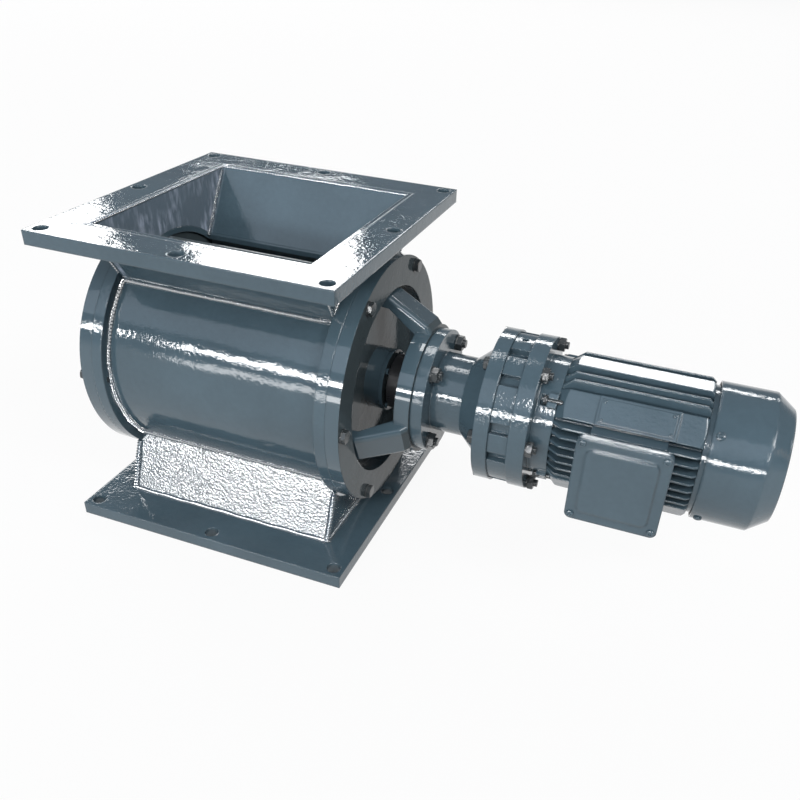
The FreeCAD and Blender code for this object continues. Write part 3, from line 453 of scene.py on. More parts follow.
@dataclass(frozen=True)
class Enamel:
    """Gloss enamel on steel plate or castings. Waves are per metre."""

    name: str
    colour: Colour
    texture: Texture = Texture.SPRAYED
    roughness: float = 0.07
    edge_radius: float = 1.8 * MM
    peel_size: float = 4.5 * MM
    peel_depth: float = 0.16 * MM
    wave_depth: float = 0.5 * MM
    wave_size: float = 35.0 * MM
    pebble_size: float = 3.0 * MM
    pebble_depth: float = 0.75 * MM
    pebble_detail: float = 1.5
    variation: float = 0.16
    patch_waves: float = 9.0
    patch_share: float = 1.6
    fleck_waves: float = 140.0
    fleck_share: float = 0.5
    gloss_waves: float = 55.0
    gloss_spread: float = 0.08
    ior: float = 1.5
    # Pale colour of the throat wall's scuffs and of its painted light.
    scuff_and_painted_light_colour: Colour = (0.26, 0.30, 0.37)
    flank_colour: Colour = (0.0, 0.0, 0.0)
    flank_coat: float = 0.0
    flank_start: float = 1.2
    flank_fall: float = 2.0

    def build(self) -> bpy.types.Material:
        """Make the material."""
        material, graph = new_material(self.name)
        gloss = self.roughness + (graph.noise(self.gloss_waves, FINE) - NOISE_MEAN) * self.gloss_spread
        colour = self._mottled(graph)
        # Paints light on the throat wall: pale marks, partly painted reflection, and an even painted
        # lightening.
        if self.texture is Texture.BRUSHED:
            colour = graph.blend(THROAT_WALL_SCUFFS_AND_LIGHT.scuffs_and_painted_light(graph), colour, opaque(self.scuff_and_painted_light_colour))
        coat: Number = 0.0
        # On the covers, faces across the rotor axis keep a painted reflection colour, while rims and legs
        # take the flank colour.
        if self.flank_coat:
            flanks = self._flanks(graph)
            colour = graph.blend(flanks, colour, opaque(self.flank_colour))
            coat = flanks * self.flank_coat
        graph.close({
            "Base Color": colour,
            "Roughness": gloss.clamped(),
            "Normal": graph.embossed(self._relief(graph), graph.soft_edges(self.edge_radius)),
            "IOR": self.ior,
            "Coat Weight": coat,
        })
        return material

    def _mottled(self, graph: NodeGraph) -> Signal:
        """Give the enamel's colour, a little darker in some places than in others.

        Args:
            graph: The material's graph.

        Returns:
            The colour.
        """
        patches = (graph.noise(self.patch_waves, FINE) - NOISE_MEAN) * self.patch_share
        flecks = (graph.noise(self.fleck_waves, FINE) - NOISE_MEAN) * self.fleck_share
        dark = (c * (1.0 - self.variation) for c in self.colour)
        light = (min(1.0, c * (1.0 + self.variation)) for c in self.colour)
        return graph.blend((patches + flecks + NOISE_MEAN).clamped(), opaque(dark), opaque(light))

    def _flanks(self, graph: NodeGraph) -> Signal:
        """Give 1 on rims and legs, and 0 on faces across the rotor axis.

        Args:
            graph: The material's graph.

        Returns:
            The mask.
        """
        x = graph.along_axis(graph.add("ShaderNodeNewGeometry").out("Normal"))
        return (self.flank_start - x * x * self.flank_fall).clamped()

    def _relief(self, graph: NodeGraph) -> Signal:
        """Give the height of the enamel's surface, in metres.

        Args:
            graph: The material's graph.

        Returns:
            The height.
        """
        peel = graph.noise(1.0 / self.peel_size, MEDIUM) * self.peel_depth
        wave = graph.noise(1.0 / self.wave_size, COARSE) * self.wave_depth
        height = peel + wave
        if self.texture is Texture.BRUSHED:
            height = height + THROAT_WALL_SCUFFS_AND_LIGHT.streaks(graph)
        if self.texture is Texture.PEBBLED:
            height = height + graph.noise(1.0 / self.pebble_size, self.pebble_detail) * self.pebble_depth
        return height


@dataclass(frozen=True)
class Metal:
    """Machined or blackened metal without paint. Waves are per metre."""

    name: str
    colour: Colour
    roughness: float
    metallic: float = 1.0
    edge_radius: float = 0.6 * MM
    stain_waves: float = 40.0
    stain_shade: float = 0.7
    scratch_waves: float = 220.0
    scratch_stretch: Point = (0.1, 1.0, 1.0)
    gloss_spread: float = 0.25
    grain: float = 0.02 * MM
    grain_waves: float = 900.0
    grain_stretch: Point = (0.15, 1.0, 1.0)

    def build(self) -> bpy.types.Material:
        """Make the material."""
        material, graph = new_material(self.name)
        stains = graph.noise(self.stain_waves, FINEST)
        dark = (c * self.stain_shade for c in self.colour)
        scratches = graph.noise(self.scratch_waves, FINE, self.scratch_stretch) - NOISE_MEAN
        gloss = self.roughness + scratches * self.gloss_spread
        height = graph.noise(self.grain_waves, MEDIUM, self.grain_stretch) * self.grain
        graph.close({
            "Base Color": graph.blend(stains, opaque(dark), opaque(self.colour)),
            "Roughness": gloss.clamped(),
            "Normal": graph.embossed(height, graph.soft_edges(self.edge_radius)),
            "Metallic": self.metallic,
        })
        return material


@dataclass(frozen=True)
class Moulding:
    """Rubber, plastic or packing cord. Waves are per metre."""

    name: str
    colour: Colour
    roughness: float = 0.6
    grain_size: float = 1.2 * MM
    grain_depth: float = 0.06 * MM
    dust_waves: float = 60.0
    dust_share: float = 0.6
    dust_gain: float = 1.5
    dust_lift: float = 0.01
    gloss_spread: float = 0.2

    def build(self) -> bpy.types.Material:
        """Make the material."""
        material, graph = new_material(self.name)
        dust = graph.noise(self.dust_waves, FINEST)
        pale = (min(1.0, c * self.dust_gain + self.dust_lift) for c in self.colour)
        gloss = self.roughness + (dust - NOISE_MEAN) * self.gloss_spread
        height = graph.noise(1.0 / self.grain_size, MEDIUM) * self.grain_depth
        graph.close({
            "Base Color": graph.blend(dust * self.dust_share, opaque(self.colour), opaque(pale)),
            "Roughness": gloss.clamped(),
            "Normal": graph.embossed(height),
        })
        return material


BLUE_GREY: Colour = (0.035, 0.056, 0.070)
# Darker brown-grey on the covers' faces across the rotor axis: a painted reflection, not a paint of its
# own; the covers' paint is BLUE_GREY.
COVER_FACE_PAINTED_REFLECTION: Colour = (0.029, 0.038, 0.042)
HARDWARE_GREY: Colour = (0.022, 0.026, 0.028)

PLATE = Enamel("enamel_on_plate", BLUE_GREY, edge_radius=3.2 * MM, peel_depth=0.2 * MM)
THROAT = Enamel("enamel_brushed_in_throat", BLUE_GREY, Texture.BRUSHED)
CHUTE = Enamel("enamel_pebbled_on_chute", BLUE_GREY, Texture.PEBBLED, roughness=0.04, ior=2.7)
DRUM = Enamel("enamel_on_drum", BLUE_GREY)
# Cover faces across the rotor axis take a painted reflection colour; rims and legs keep the blue-grey paint
# with a gloss coat.
COVER = Enamel(
    "enamel_on_covers",
    COVER_FACE_PAINTED_REFLECTION,
    edge_radius=2.2 * MM,
    ior=1.2,
    flank_colour=BLUE_GREY,
    flank_coat=1.0,
)
CASTING = Enamel(
    "enamel_on_castings",
    BLUE_GREY,
    edge_radius=2.2 * MM,
    peel_depth=0.22 * MM,
    peel_size=3.6 * MM,
)
LID = Enamel("enamel_on_terminal_box", BLUE_GREY, edge_radius=5.0 * MM, peel_depth=0.14 * MM)
BEAD = Enamel(
    "enamel_on_welds",
    BLUE_GREY,
    edge_radius=0.3 * MM,
    peel_depth=0.3 * MM,
    peel_size=3.4 * MM,
    ior=4.6,
)
COWL = Enamel("enamel_on_pressed_cowl", BLUE_GREY, edge_radius=5.0 * MM)
HARDWARE = Enamel("enamel_on_fasteners", HARDWARE_GREY, edge_radius=0.5 * MM, roughness=0.2)
SCREW = Enamel("enamel_on_screws", BLUE_GREY, edge_radius=0.5 * MM, roughness=0.14)
STAR = Enamel("enamel_inside_rotor", (0.045, 0.058, 0.062), Texture.BRUSHED, roughness=0.32)
BRIGHT = Metal("ground_steel", (0.55, 0.56, 0.57), 0.28)
TURNED = Metal("turned_steel", (0.42, 0.43, 0.44), 0.36)
BLACK_IRON = Metal("blackened_iron", (0.018, 0.019, 0.021), 0.3, metallic=0.2)
CORE = Metal("varnished_laminations", (0.12, 0.12, 0.13), 0.5)
COPPER = Metal("varnished_copper", (0.42, 0.16, 0.06), 0.4)
RUBBER = Moulding("black_rubber", (0.012, 0.012, 0.013))
CORD = Moulding("greased_packing", (0.35, 0.33, 0.28), 0.8)
PLASTIC = Moulding("black_moulding", (0.03, 0.03, 0.032), 0.5)

NODE_FINISHES: dict[Any, str] = {
    PLATE: "inlet_flange outlet_flange drive_end_ring blind_end_ring",
    THROAT: "inlet_neck",
    CHUTE: "outlet_chute",
    DRUM: "barrel_shell",
    COVER: "drive_end_cover blind_end_cover blind_bearing_cap drive_bearing_cap",
    CASTING: "gearbox_output_housing pin_gear_case motor_front_shield motor_frame motor_rear_shield "
    "motor_name_plate",
    LID: "terminal_box terminal_box_lid",
    COWL: "fan_cowl",
    STAR: "rotor_hub rotor_vanes",
    TURNED: "rotor_shaft coupling_keys output_shaft motor_shaft",
    BRIGHT: "rotor_bearing_outer_rings rotor_bearing_inner_rings output_bearing_outer_rings "
    "output_bearing_inner_rings motor_bearing_outer_rings motor_bearing_inner_rings carrier_pins "
    "carrier_rollers ring_pins cycloid_disc_front cycloid_disc_rear eccentric_sleeve eccentric_bearings",
    BLACK_IRON: "coupling_valve_half coupling_gearbox_half",
    RUBBER: "coupling_spider gearbox_oil_seals terminal_box_gasket cable_gland",
    CORD: "shaft_packings",
    CORE: "stator_core motor_rotor_core",
    COPPER: "stator_windings",
    PLASTIC: "motor_fan terminal_block",
}


class FinishShop:
    """Keeps one material for each finish."""

    def __init__(self) -> None:
        """Start with no materials."""
        self._made: dict[str, bpy.types.Material] = {}

    def material(self, finish: Any) -> bpy.types.Material:
        """Give a finish's material, made on first use.

        Args:
            finish: The finish.

        Returns:
            Its material.
        """
        if finish.name not in self._made:
            self._made[finish.name] = finish.build()
        return self._made[finish.name]

    def dress(self, obj: bpy.types.Object, finish: Any) -> None:
        """Give an object one material.

        Args:
            obj: The object.
            finish: Its finish.
        """
        material = self.material(finish)
        if not obj.material_slots:
            obj.data.materials.append(material)
        for slot in obj.material_slots:
            slot.material = material


@dataclass
class MeshDraft:
    """Vertices and faces of a piece while it is being drawn."""

    points: list[Vector] = field(default_factory=list)
    faces: list[tuple[int, ...]] = field(default_factory=list)

    def add_rings(self, rings: Sequence[Sequence[Vector]]) -> None:
        """Join rings of equal length into a skin, with a face at each end.

        Args:
            rings: The rings, in order.
        """
        start = len(self.points)
        count = len(rings[0])
        for ring in rings:
            self.points.extend(ring)
        for row in range(len(rings) - 1):
            low = start + row * count
            for i in range(count):
                j = (i + 1) % count
                self.faces.append((low + i, low + j, low + count + j, low + count + i))
        last = start + (len(rings) - 1) * count
        self.faces.append(tuple(range(start + count - 1, start - 1, -1)))
        self.faces.append(tuple(range(last, last + count)))

    def piece(self, name: str, smooth_angle: float = SMOOTH_ANGLE) -> bpy.types.Object:
        """Turn the draft into an object.

        Args:
            name: The object's name.
            smooth_angle: Edges sharper than this stay sharp, in degrees.

        Returns:
            The object, linked to the scene.
        """
        mesh = bpy.data.meshes.new(name)
        mesh.from_pydata([tuple(p) for p in self.points], [], self.faces)
        shape = bmesh.new()
        shape.from_mesh(mesh)
        bmesh.ops.recalc_face_normals(shape, faces=shape.faces)
        for face in shape.faces:
            face.smooth = True
        for edge in shape.edges:
            if len(edge.link_faces) == 2 and edge.calc_face_angle(0.0) > math.radians(smooth_angle):
                edge.smooth = False
        shape.to_mesh(mesh)
        shape.free()
        obj = bpy.data.objects.new(name, mesh)
        bpy.context.scene.collection.objects.link(obj)
        return obj


@dataclass
class Plates:
    """Plates of the weldment that the weld beads follow."""

    height: float = 416.0 * MM
    flange: float = 18.0 * MM
    wall: float = 6.0 * MM
    drum_radius: float = 154.0 * MM
    ring_radius: float = 168.0 * MM
    ring_x: float = 152.0 * MM
    inlet_half_length: float = 146.0 * MM
    inlet_half_width: float = 146.0 * MM
    inlet_slope: float = 54.0 / 88.0
    outlet_half_length: float = 148.0 * MM
    outlet_half_width: float = 142.0 * MM
    outlet_slope: float = 36.0 / 96.0

    def half_width(self, z: float, inlet: bool) -> float:
        """Give the half width over a hopper's sloped plates.

        Args:
            z: Height.
            inlet: True for the inlet hopper.

        Returns:
            Distance of the plates' outer face from the middle.
        """
        slope = self.inlet_slope if inlet else self.outlet_slope
        base = self.inlet_half_width if inlet else self.outlet_half_width
        drop = self.height - z if inlet else z
        return base + self.wall * math.hypot(1.0, slope) - slope * drop

    def seat(self, radius: float, inlet: bool) -> tuple[float, float]:
        """Find where a sloped plate meets a cylinder about the rotor axis.

        Args:
            radius: The cylinder's radius.
            inlet: True for the inlet hopper.

        Returns:
            Half width and height there.
        """
        near = AXIS_HEIGHT
        far = self.height if inlet else 0.0
        for _ in range(SEAT_HALVINGS):
            middle = (near + far) / 2
            inside = math.hypot(self.half_width(middle, inlet), middle - AXIS_HEIGHT) < radius
            near, far = (middle, far) if inside else (near, middle)
        return self.half_width(near, inlet), near


@dataclass
class WeldBeads:
    """Rippled fillet welds. Each of the waves is its rate, its shift from bead to bead and its share."""

    shop: FinishShop
    plates: Plates = field(default_factory=Plates)
    radius: float = 5.2 * MM
    corner_radius: float = 2.2 * MM
    lip_radius: float = 1.6 * MM
    ripple: float = 0.4
    pitch: float = 4.2 * MM
    steps: int = 5
    sides: int = 8
    wander: float = 0.5 * MM
    swell: float = 0.08
    waves: tuple[tuple[float, float, float], ...] = ((0.11, 1.0, 0.6), (0.037, 2.0, 0.4))
    end_taper: float = 0.45
    corner_inset: float = 4.0 * MM
    corner_drop: float = 6.0 * MM
    lip_sink: float = 1.1
    arc_step: float = 2.0
    smooth_angle: float = 75.0

    def build(self) -> None:
        """Lay every bead."""
        self._piece("inlet_neck_welds", list(self._neck_seams()), self.radius)
        self._piece("inlet_corner_welds", list(self._hopper_seams(True)), self.corner_radius)
        self._piece("inlet_lip_weld", [self._lip_seam()], self.lip_radius)
        self._piece("outlet_chute_welds", list(self._hopper_seams(False)), self.radius)
        self._piece("drum_ring_welds", list(self._ring_seams()), self.radius)

    def _piece(self, name: str, seams: Iterable[Sequence[Vector]], radius: float) -> None:
        """Make one piece of several beads.

        Args:
            name: The piece's name.
            seams: The lines that the beads follow.
            radius: Radius of the beads.
        """
        draft = MeshDraft()
        for number, seam in enumerate(seams):
            draft.add_rings(self._bead(seam, number, radius))
        obj = draft.piece(name, self.smooth_angle)
        self.shop.dress(obj, BEAD)
        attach(obj, CASINGS)
        LOG.info("%s: %d faces", name, len(obj.data.polygons))

    def _lip_seam(self) -> list[Vector]:
        """Give the seam round the inlet's mouth."""
        plates = self.plates
        x = plates.inlet_half_length
        y = plates.inlet_half_width
        z = plates.height - self.lip_radius * self.lip_sink
        corners = ((-x, -y), (x, -y), (x, y), (-x, y), (-x, -y))
        return [Vector((px, py, z)) for px, py in corners]

    def _bead(self, seam: Sequence[Vector], number: int, radius: float) -> list[list[Vector]]:
        """Sweep a rippled round section along a seam.

        Args:
            seam: Points of the seam.
            number: Number of the bead, which shifts its ripples.
            radius: Radius of the bead.

        Returns:
            The rings of the bead.
        """
        points = self._resample(seam)
        rings = []
        for i, point in enumerate(points):
            axis = Axis(point, points[min(i + 1, len(points) - 1)] - points[max(i - 1, 0)])
            phase = (i % self.steps) / self.steps
            slow = sum(share * math.sin(i * rate + shift * number) for rate, shift, share in self.waves)
            size = radius * (1.0 - self.ripple * phase + self.swell * slow)
            if i in (0, len(points) - 1):
                size *= self.end_taper
            axis.origin = point + axis.side * (self.wander * slow * radius / self.radius)
            rings.append(axis.ring(0.0, size, self.sides))
        return rings

    def _resample(self, seam: Sequence[Vector]) -> list[Vector]:
        """Spread points evenly along a seam.

        Args:
            seam: Points of the seam.

        Returns:
            Points a fraction of a ripple apart.
        """
        step = self.pitch / self.steps
        spread = []
        for start, end in zip(seam, seam[1:]):
            count = max(1, round((end - start).length / step))
            spread.extend(start.lerp(end, i / count) for i in range(count))
        spread.append(seam[-1].copy())
        return spread

    def _arc(self, radius: float, first: float, last: float, x: float) -> list[Vector]:
        """Give points on an arc about the rotor axis.

        Args:
            radius: The arc's radius.
            first: Start, in degrees.
            last: End, in degrees.
            x: Place along the rotor axis.

        Returns:
            The points.
        """
        count = max(2, int(abs(last - first) / self.arc_step))
        return [polar(radius, first + (last - first) * i / count, x) for i in range(count + 1)]

    def _drum_seam(self, side: int, inlet: bool) -> list[Vector]:
        """Give the seam of a sloped plate on the drum.

        Args:
            side: 1 for the plate on the +Y side, else -1.
            inlet: True for the inlet hopper.

        Returns:
            The seam's ends.
        """
        half, z = self.plates.seat(self.plates.drum_radius, inlet)
        return [Vector((x, side * half, z)) for x in (-self.plates.ring_x, self.plates.ring_x)]

    def _neck_seams(self) -> Iterable[list[Vector]]:
        """Give the seams of the inlet hopper on the drum and up its inner corners."""
        plates = self.plates
        half, low = plates.seat(plates.drum_radius, True)
        foot = half - plates.wall * math.hypot(1.0, plates.inlet_slope)
        head = plates.inlet_half_width - self.corner_inset
        top = plates.height - self.corner_drop
        for side in (-1, 1):
            yield self._drum_seam(side, True)
            for x in (-plates.inlet_half_length, plates.inlet_half_length):
                yield [Vector((x, side * foot, low)), Vector((x, side * head, top))]

    def _hopper_seams(self, inlet: bool) -> Iterable[list[Vector]]:
        """Give the seams at a hopper's flange, along the end rings and up its outer corners.

        Args:
            inlet: True for the inlet hopper. The outlet's also has its seams on the drum.

        Yields:
            The seams.
        """
        plates = self.plates
        foot = plates.height - plates.flange if inlet else plates.flange
        foot_half = plates.half_width(foot, inlet)
        end = plates.wall + (plates.inlet_half_length if inlet else plates.outlet_half_length)
        rim_half, rim_z = plates.seat(plates.ring_radius, inlet)
        first = math.degrees(math.atan2(rim_z - AXIS_HEIGHT, rim_half))
        last = math.copysign(180.0, first) - first
        for side in (-1, 1):
            if not inlet:
                yield self._drum_seam(side, inlet)
            yield [Vector((x, side * foot_half, foot)) for x in (-end, end)]
            yield [Vector((side * end, y, foot)) for y in (-foot_half, foot_half)]
            yield self._arc(plates.ring_radius, first, last, side * end)
            for x in (-end, end):
                yield [Vector((x, side * rim_half, rim_z)), Vector((x, side * foot_half, foot))]

    def _ring_seams(self) -> Iterable[list[Vector]]:
        """Give the seams between the drum and its end rings."""
        plates = self.plates
        half, low = plates.seat(plates.drum_radius, True)
        top = math.degrees(math.atan2(low - AXIS_HEIGHT, half))
        foot_half, foot = plates.seat(plates.drum_radius, False)
        bottom = math.degrees(math.atan2(foot - AXIS_HEIGHT, foot_half))
        for side in (-1, 1):
            x = side * plates.ring_x
            yield self._arc(plates.drum_radius, bottom, top, x)
            yield self._arc(plates.drum_radius, 180.0 - top, 180.0 - bottom, x)


class Head(Enum):
    """Kinds of fastener heads."""

    BOLT = "bolt"
    NUT = "nut"
    PAN = "pan"


@dataclass(frozen=True)
class Fastener:
    """One kind of fastener. The dome of a pan head is shares of its height and of its radius."""

    head: Head
    thread: float
    width: float
    height: float
    washer: float = 0.0
    washer_height: float = 1.6 * MM
    washer_edge: float = 0.8
    washer_chamfer: float = 0.4 * MM
    washer_sides: int = 32
    stub: float = 0.0
    shank: float = 0.0
    shank_lap: float = 0.3 * MM
    shank_sides: int = 20
    flat_turn: float = 17.0
    chamfer_angle: float = 30.0
    chamfer_share: float = 0.93
    hexagon_sides: int = 48
    thread_pitch: float = 1.5 * MM
    thread_depth: float = 0.6 * MM
    thread_sides: int = 24
    stub_sink: float = 0.5 * MM
    dome: tuple[tuple[float, float], ...] = (
        (0.0, 1.0), (0.45, 1.0), (0.75, 0.9), (0.93, 0.68), (1.0, 0.42), (0.62, 0.36), (0.6, 0.05)
    )
    dome_sides: int = 24

    def draw(self, draft: MeshDraft, axis: Axis, number: int) -> None:
        """Add the fastener to a draft.

        Args:
            draft: The draft.
            axis: Where it stands.
            number: Number of the fastener, which turns its flats.
        """
        base = 0.0
        if self.washer:
            base = self.washer_height
            rim = self.washer
            edge = ((0.0, rim), (self.washer_edge, rim), (1.0, rim - self.washer_chamfer))
            draft.add_rings([axis.ring(share * base, reach, self.washer_sides) for share, reach in edge])
        if self.shank:
            ends = (-self.shank, base + self.shank_lap)
            draft.add_rings([axis.ring(rise, self.thread, self.shank_sides) for rise in ends])
        if self.head is Head.PAN:
            self._draw_pan(draft, axis, base)
        else:
            self._draw_hexagon(draft, axis, base, math.radians(self.flat_turn * number))
        if self.stub:
            self._draw_stub(draft, axis, base + self.height)

    def _draw_hexagon(self, draft: MeshDraft, axis: Axis, base: float, turn: float) -> None:
        """Add a chamfered hexagon.

        Args:
            draft: The draft.
            axis: Where it stands.
            base: Height that the hexagon starts at.
            turn: Angle of its flats, in radians.
        """
        flat = self.width / 2.0
        inner = flat * self.chamfer_share
        slope = math.tan(math.radians(self.chamfer_angle))
        top = base + self.height

        def corner(angle: float) -> float:
            """Give the hexagon's radius at an angle."""
            return flat / math.cos((angle + turn) % (math.pi / 3.0) - math.pi / 6.0)

        lower = []
        middle = []
        for i in range(self.hexagon_sides):
            angle = 2.0 * math.pi * i / self.hexagon_sides
            reach = corner(angle)
            lower.append(axis.point(angle, base, reach))
            middle.append(axis.point(angle, top - (reach - inner) * slope, reach))
        draft.add_rings([lower, middle, axis.ring(top, inner, self.hexagon_sides)])

    def _draw_stub(self, draft: MeshDraft, axis: Axis, base: float) -> None:
        """Add the thread that stands out of a nut.

        Args:
            draft: The draft.
            axis: Where the nut stands.
            base: Height of the nut's top.
        """
        steps = 2 * max(3, round(self.stub / self.thread_pitch))
        rings = []
        for i in range(steps + 1):
            reach = self.thread if i % 2 else self.thread - self.thread_depth
            rings.append(axis.ring(base - self.stub_sink + self.stub * i / steps, reach, self.thread_sides))
        draft.add_rings(rings)

    def _draw_pan(self, draft: MeshDraft, axis: Axis, base: float) -> None:
        """Add a domed head with a shallow recess.

        Args:
            draft: The draft.
            axis: Where it stands.
            base: Height that the head starts at.
        """
        rings = []
        for rise, share in self.dome:
            rings.append(axis.ring(base + rise * self.height, share * self.width / 2.0, self.dome_sides))
        draft.add_rings(rings)


COVER_BOLT = Fastener(Head.BOLT, 5.0 * MM, 16.0 * MM, 5.6 * MM, washer=9.4 * MM, shank=33.0 * MM)
CAP_SCREW = Fastener(Head.BOLT, 2.5 * MM, 8.0 * MM, 3.2 * MM, shank=15.0 * MM)
FLANGE_STUD = Fastener(
    Head.NUT, 6.0 * MM, 19.0 * MM, 8.4 * MM, washer=11.0 * MM, stub=4.0 * MM, shank=35.0 * MM
)
CLAMP_BOLT = Fastener(Head.BOLT, 5.0 * MM, 16.0 * MM, 5.2 * MM, washer=8.6 * MM, shank=66.0 * MM)
CLAMP_NUT = Fastener(Head.NUT, 5.0 * MM, 17.0 * MM, 7.4 * MM, washer=8.6 * MM, stub=5.0 * MM)
SHIELD_SCREW = Fastener(Head.BOLT, 3.0 * MM, 9.6 * MM, 3.9 * MM, washer=6.0 * MM, shank=25.0 * MM)
COWL_SCREW = Fastener(Head.PAN, 2.5 * MM, 10.0 * MM, 3.0 * MM, shank=9.0 * MM)
LID_SCREW = Fastener(Head.PAN, 2.5 * MM, 9.0 * MM, 3.0 * MM, shank=18.0 * MM)
RIVET = Fastener(Head.PAN, 1.2 * MM, 4.4 * MM, 1.3 * MM, shank=1.5 * MM)


@dataclass
class FastenerPiece:
    """One piece of fasteners, with the nodes that it replaces."""

    name: str
    sets: list[tuple[Fastener, list[Axis]]]
    nodes: tuple[str, ...]
    finish: Enamel = HARDWARE
    smooth_angle: float = 24.0

    def build(self, shop: FinishShop) -> None:
        """Make the piece.

        Args:
            shop: Gives the materials.
        """
        draft = MeshDraft()
        for kind, axes in self.sets:
            for number, axis in enumerate(axes):
                kind.draw(draft, axis, number)
        obj = draft.piece(self.name, self.smooth_angle)
        shop.dress(obj, self.finish)
        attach(obj, CASINGS)
        if self.nodes:
            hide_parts(*self.nodes)
        LOG.info("%s: %d fasteners", self.name, sum(len(axes) for _, axes in self.sets))


@dataclass
class Fasteners:
    """Bolts, nuts and screws of the valve, gearbox and motor."""

    shop: FinishShop
    cover_face: float = 186.0 * MM
    cover_circle: float = 157.0 * MM
    cap_face: float = 190.0 * MM
    cap_circle: float = 36.5 * MM
    stud_face: float = 261.0 * MM
    stud_circle: float = 70.0 * MM
    front_ring: float = 333.0 * MM
    rear_ring: float = 399.0 * MM
    ring_circle: float = 91.0 * MM
    shield_lug: float = 412.0 * MM
    shield_circle: float = 80.0 * MM
    rear_lug: float = 618.0 * MM
    rear_circle: float = 72.0 * MM
    cowl_screw: float = 612.0 * MM
    cowl_radius: float = 86.0 * MM
    six_ways: tuple[float, ...] = (0.0, 60.0, 120.0, 180.0, 240.0, 300.0)
    four_ways: tuple[float, ...] = (45.0, 135.0, 225.0, 315.0)
    pads: tuple[float, ...] = (42.5, 137.5, 222.5, 317.5)
    plate_face: float = 88.0 * MM
    plate_middle: float = 519.0 * MM
    plate_reach: tuple[float, float] = (40.0 * MM, 11.5 * MM)
    lid_middle: float = 515.0 * MM
    lid_face: float = -128.0 * MM
    lid_reach: tuple[float, float] = (47.0 * MM, 49.5 * MM)

    def build(self) -> None:
        """Make every piece."""
        for piece in self._pieces():
            piece.build(self.shop)

    @staticmethod
    def _facing(circle: float, angles: Sequence[float], x: float, way: int) -> list[Axis]:
        """Place fasteners on a circle about the rotor axis, parallel to the axis.

        Args:
            circle: Radius of the circle.
            angles: Their angles, in degrees.
            x: Place of their seats.
            way: 1 if they stand out towards the cowl, else -1.

        Returns:
            Where they stand.
        """
        return [Axis(polar(circle, angle, x), Vector((way, 0.0, 0.0))) for angle in angles]

    @staticmethod
    def _square(middle: Vector, first: Vector, second: Vector, out: Vector) -> list[Axis]:
        """Place four fasteners round a middle.

        Args:
            middle: The middle.
            first: Reach one way.
            second: Reach the other way.
            out: Direction that they stand out in.

        Returns:
            Where they stand.
        """
        return [Axis(middle + first * i + second * k, out) for i in (-1, 1) for k in (-1, 1)]

    def _cowl_screws(self) -> list[Axis]:
        """Place the screws round the cowl's mouth."""
        middle = polar(0.0, 0.0, self.cowl_screw)
        seats = [polar(self.cowl_radius, angle, self.cowl_screw) for angle in self.pads]
        return [Axis(seat, seat - middle) for seat in seats]

    def _lid_screws(self) -> list[Axis]:
        """Place the screws of the terminal box lid."""
        middle = Vector((self.lid_middle, self.lid_face, AXIS_HEIGHT))
        reach_x, reach_z = self.lid_reach
        first = Vector((reach_x, 0.0, 0.0))
        return self._square(middle, first, Vector((0.0, 0.0, reach_z)), Vector((0.0, -1.0, 0.0)))

    def _rivets(self) -> list[Axis]:
        """Place the name plate's rivets."""
        angle = self.pads[1]
        out = (polar(1.0, angle, 0.0) - polar(0.0, 0.0, 0.0)).normalized()
        along = Vector((1.0, 0.0, 0.0))
        reach_x, reach_y = self.plate_reach
        middle = polar(self.plate_face, angle, self.plate_middle)
        return self._square(middle, along * reach_x, out.cross(along) * reach_y, out)

    def _pieces(self) -> list[FastenerPiece]:
        """List the pieces with their places."""
        covers = self._facing(self.cover_circle, self.six_ways, self.cover_face, 1)
        covers += self._facing(self.cover_circle, self.six_ways, -self.cover_face, -1)
        caps = self._facing(self.cap_circle, self.four_ways, self.cap_face, 1)
        caps += self._facing(self.cap_circle, self.four_ways, -self.cap_face, -1)
        shields = self._facing(self.shield_circle, self.pads, self.shield_lug, -1)
        shields += self._facing(self.rear_circle, self.pads, self.rear_lug, 1)
        studs = self._facing(self.stud_circle, self.four_ways, self.stud_face, 1)
        heads = self._facing(self.ring_circle, self.six_ways, self.front_ring, -1)
        nuts = self._facing(self.ring_circle, self.six_ways, self.rear_ring, 1)
        clamps = [(CLAMP_BOLT, heads), (CLAMP_NUT, nuts)]
        stud_nodes = ("gearbox_flange_studs", "gearbox_flange_nuts")
        clamp_nodes = ("gearbox_through_bolts", "gearbox_through_nuts")
        cowl = [(COWL_SCREW, self._cowl_screws())]
        lid = [(LID_SCREW, self._lid_screws())]
        return [
            FastenerPiece("cover_bolt_set", [(COVER_BOLT, covers)], ("cover_bolts",)),
            FastenerPiece("cap_screw_set", [(CAP_SCREW, caps)], ("bearing_cap_screws",), SCREW),
            FastenerPiece("gearbox_flange_stud_set", [(FLANGE_STUD, studs)], stud_nodes),
            FastenerPiece("gearbox_clamp_bolt_set", clamps, clamp_nodes),
            FastenerPiece("shield_screw_set", [(SHIELD_SCREW, shields)], ("motor_shield_screws",)),
            FastenerPiece("cowl_screw_set", cowl, ("cowl_screws",), SCREW),
            FastenerPiece("name_plate_rivets", [(RIVET, self._rivets())], (), SCREW),
            FastenerPiece("lid_screw_set", lid, ("terminal_lid_screws",), SCREW),
        ]


